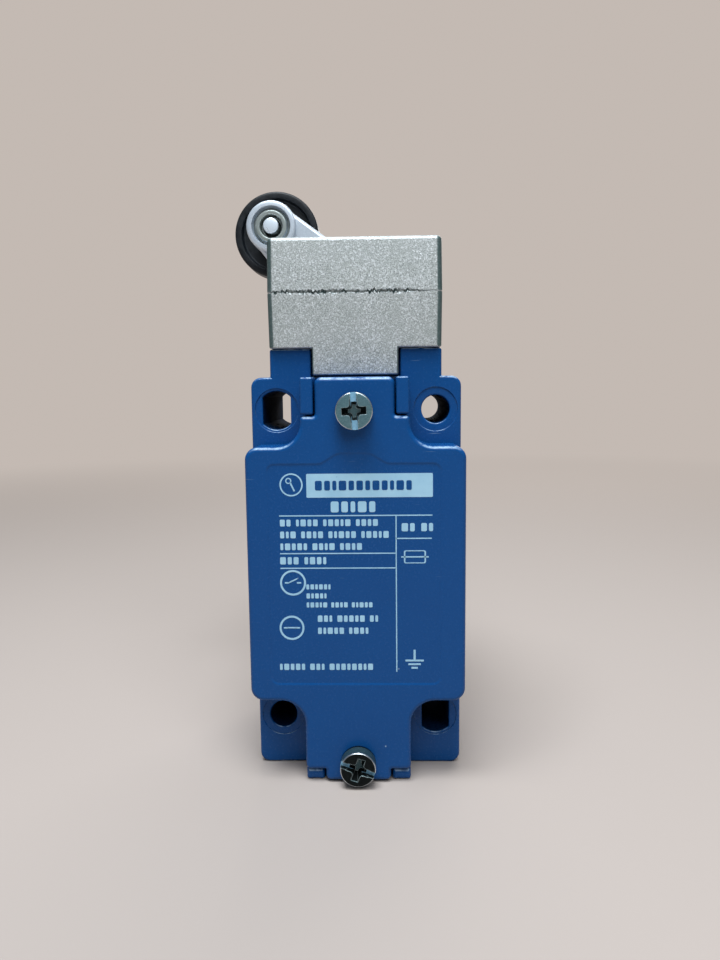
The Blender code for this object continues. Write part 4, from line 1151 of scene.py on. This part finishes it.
def build_nut():
    low, high = corners_of("lever_nut")
    corner_r = 10.0 / sqrt(3)
    bevel, wide = corner_r - 0.55, corner_r + 0.5
    hexagon = [(*polar((HUB.x, HUB.z), corner_r, radians(60 * i + 30)), 0.12) for i in range(6)]
    nut = slab("nut", hexagon, (low.y, high.y), steps=3)
    crown = [(bevel, low.y - 0.3, 0.2), (wide, low.y + 0.7, 0.2), (wide, high.y - 0.7, 0.2),
             (bevel, high.y + 0.3, 0.2)]
    combine(nut, [lathe("crown", crown, HUB, segments=96)], "INTERSECT")
    cut(nut, through("thread", HUB, 3.3, (low.y, high.y), 0.4))
    show(nut, "lever", "plated_steel", STEEL, "lever_nut", crease=25)


def build_shaft_seal():
    low, high = corners_of("shaft_seal")
    bore_r, outer = 5.1, 7.7
    lip = [(bore_r, low.y, 0.1), (outer, low.y, 0.2), (outer, high.y, 0.3),
           (6.5, high.y, 0.2), (6.0, 0.9, 0.3), (5.5, high.y, 0.15), (bore_r, 1.5, 0.1)]
    show(lathe_tube("shaft_seal_finished", lip, HUB), "housing", "seal_rubber", RUBBER, "shaft_seal")


# ---- springs
def coil(foot, radius, wire, height, turns=4, closed=0.8):
    """Round wire wound upwards from a foot, with its first and last turns close together."""
    per_turn, sides = 36, 12
    rise, end_rise = height - 2 * wire, closed * 2.1 * wire
    stops, heights = (0, closed, turns - closed, turns), (0, end_rise, rise - end_rise, rise)
    round_turns = [2 * pi * k / sides for k in range(sides)]
    bm = bmesh.new()
    rings = []
    for i in range(turns * per_turn + 1):
        turn = 2 * pi * i / per_turn
        out = Vector((cos(turn), sin(turn), 0))
        level = wire + float(interp(i / per_turn, stops, heights))
        middle = foot + out * radius + ALONG_Z * level
        rings.append([bm.verts.new(middle + (out * cos(t) + ALONG_Z * sin(t)) * wire)
                      for t in round_turns])
    for lower, upper in zip(rings, rings[1:]):
        bridge(bm, lower, upper)
    bm.faces.new(rings[0])
    bm.faces.new(rings[-1])
    return bm


def build_springs():
    """Springs wound from round wire in place of the CAD springs."""
    for node, wire, body in (("return_spring", 0.25, "plunger"),
                             ("contact_spring", 0.2, "contact_carrier")):
        low, high = corners_of(node)
        foot = Vector(((low.x + high.x) / 2, (low.y + high.y) / 2, low.z))
        height = high.z - low.z
        made = solid(node + "_wire", coil(foot, (high.x - low.x) / 2 - wire, wire, height))
        finish_surface(made, STEEL, 50)
        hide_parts(node)
        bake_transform(made)


# ---- pieces that keep their CAD shape
KEPT = ((("cover_gasket", "head_gasket", "screw_seal", "piston_seal"), "seal_rubber", RUBBER),
        (("clamp_washer", "terminal_screw", "block_screw",
          "pushrod", "cam"), "plated_steel", STEEL),
        (("shaft_bush", "fixed_contact", "earth_"), "brass", BRASS),
        (("contact_bridge",), "contact_silver", SILVER),
        (("contact_block",), "block_plastic", BLOCK),
        (("plunger_guide", "return_piston", "contact_plunger"), "plunger_plastic", ACETAL))


def paint_kept_nodes():
    for node, made in frame["nodes"].items():
        for starts, slot, finish in KEPT:
            if node.startswith(starts):
                made.data.materials.clear()
                made.data.materials.append(finish)


# ---- the stage
BACKDROP = (0.55, 0.49, 0.45)
FLOOR = (0.42, 0.37, 0.34)
AIM = Vector((0, -0.015, 0.015))
# name, place in metres, width and height, power in watts, colour
LIGHTS = (("key", (-0.05, -0.16, 0.55), (0.30, 0.22), 3.9, (0.90, 0.95, 1.0)),
          ("front", (0.10, -0.45, 0.52), (0.50, 0.40), 2.8, (0.93, 0.97, 1.0)),
          ("rear", (0.15, 0.55, 0.35), (0.60, 0.40), 2.2, (1.0, 0.98, 0.95)))


def build_world():
    """Soft light all round, and a plain backdrop where only the lens sees it."""
    world = bpy.data.worlds.new("studio")
    bpy.context.scene.world = world
    world.use_nodes = True
    tree = world.node_tree
    seen = tree.nodes["Background"]
    feed(tree, seen.inputs["Color"], BACKDROP)
    feed(tree, seen.inputs["Strength"], 1.0)
    lit = add_node(tree, "Background", {"Color": (0.86, 0.93, 1.0), "Strength": 0.14})
    rays = add_node(tree, "LightPath", {})
    pick = add_node(tree, "MixShader", {0: rays["Is Camera Ray"], 1: lit[0],
                                        2: seen.outputs[0]})
    feed(tree, tree.nodes["World Output"].inputs[0], pick[0])


def build_stage():
    build_world()
    floor = solid("floor", floor_ring())
    if floor.data.polygons[0].normal.z < 0:
        floor.data.flip_normals()
    floor.data.materials.append(floor_finish())

    for name, place, size, power, colour in LIGHTS:
        lamp = bpy.data.lights.new(name, "AREA")
        lamp.shape = "RECTANGLE"
        lamp.size, lamp.size_y = size
        lamp.energy = power
        lamp.color = colour
        made = add_object(name, lamp)
        made.location = place
        made.rotation_euler = (AIM - Vector(place)).to_track_quat("-Z", "Y").to_euler()


def floor_ring():
    """Round floor, open under the casting so that its underside gets some light."""
    radius, margin, drop, sides = 4.0, 1.0, 0.02, 96
    centre = Vector((0, BODY_FRONT / 2, CAD_BOX[0].z / MM - drop)) * MM
    half_x, half_y = (BODY_HIGH.x - margin) * MM, (-BODY_FRONT / 2 - margin) * MM
    bm = bmesh.new()
    rings = []
    for i in range(sides):
        turn = 2 * pi * (i + 0.5) / sides
        out = Vector((cos(turn), sin(turn), 0))
        reach = min(half_x / abs(out.x), half_y / abs(out.y))
        rings.append((bm.verts.new(centre + out * reach), bm.verts.new(centre + out * radius)))
    for i, (near, far) in enumerate(rings):
        onward_near, onward_far = rings[(i + 1) % sides]
        bm.faces.new((near, far, onward_far, onward_near))
    return bm


def floor_finish():
    """Pale floor that melts into the backdrop a metre away, and is clear from below."""
    made = bpy.data.materials.new("floor")
    made.use_nodes = True
    tree = made.node_tree
    shader = tree.nodes["Principled BSDF"]
    for name, value in (("Base Color", FLOOR), ("Roughness", 0.9), ("Specular IOR Level", 0.1)):
        feed(tree, shader.inputs[name], value)
    glow = add_node(tree, "Emission", {"Color": BACKDROP})
    place = add_node(tree, "NewGeometry", {})
    far = add_node(tree, "VectorMath", {0: place["Position"]}, operation="LENGTH")
    fade = add_node(tree, "MapRange", {"From Min": 0.10, "From Max": 0.75,
                                       "Value": far["Value"]},
                    interpolation_type="SMOOTHSTEP")
    pick = add_node(tree, "MixShader", {0: fade["Result"], 1: shader.outputs[0],
                                        2: glow[0]})
    clear = add_node(tree, "BsdfTransparent", {})
    under = add_node(tree, "MixShader", {0: place["Backfacing"], 1: pick[0],
                                         2: clear[0]})
    feed(tree, tree.nodes["Material Output"].inputs[0], under[0])
    return made


# ---- the camera
CAMERA_PLACE = Vector((4.63, -171.01, 33.12)) * MM
CAMERA_AIM = Vector((0.21, -15.0, 14.90)) * MM
CAMERA_ROLL = radians(-0.62)
CAMERA_LENS = 27.94


def build_camera():
    lens = bpy.data.cameras.new("camera")
    lens.sensor_width = 36.0
    lens.lens = CAMERA_LENS
    lens.clip_start, lens.clip_end = 0.001, 20.0
    made = add_object("camera", lens)
    facing = (CAMERA_AIM - CAMERA_PLACE).to_track_quat("-Z", "Y").to_matrix().to_4x4()
    made.matrix_world = (Matrix.Translation(CAMERA_PLACE) @ facing
                         @ Matrix.Rotation(CAMERA_ROLL, 4, "Z"))
    bpy.context.scene.camera = made
    bpy.context.scene.view_settings.view_transform = "Standard"


build_camera()
build_stage()
build_body()
build_cover()
build_print()
build_head()
build_screws()
build_lever()
build_roller()
build_pin_and_bush()
build_shaft()
build_washer()
build_nut()
build_shaft_seal()
build_springs()
paint_kept_nodes()
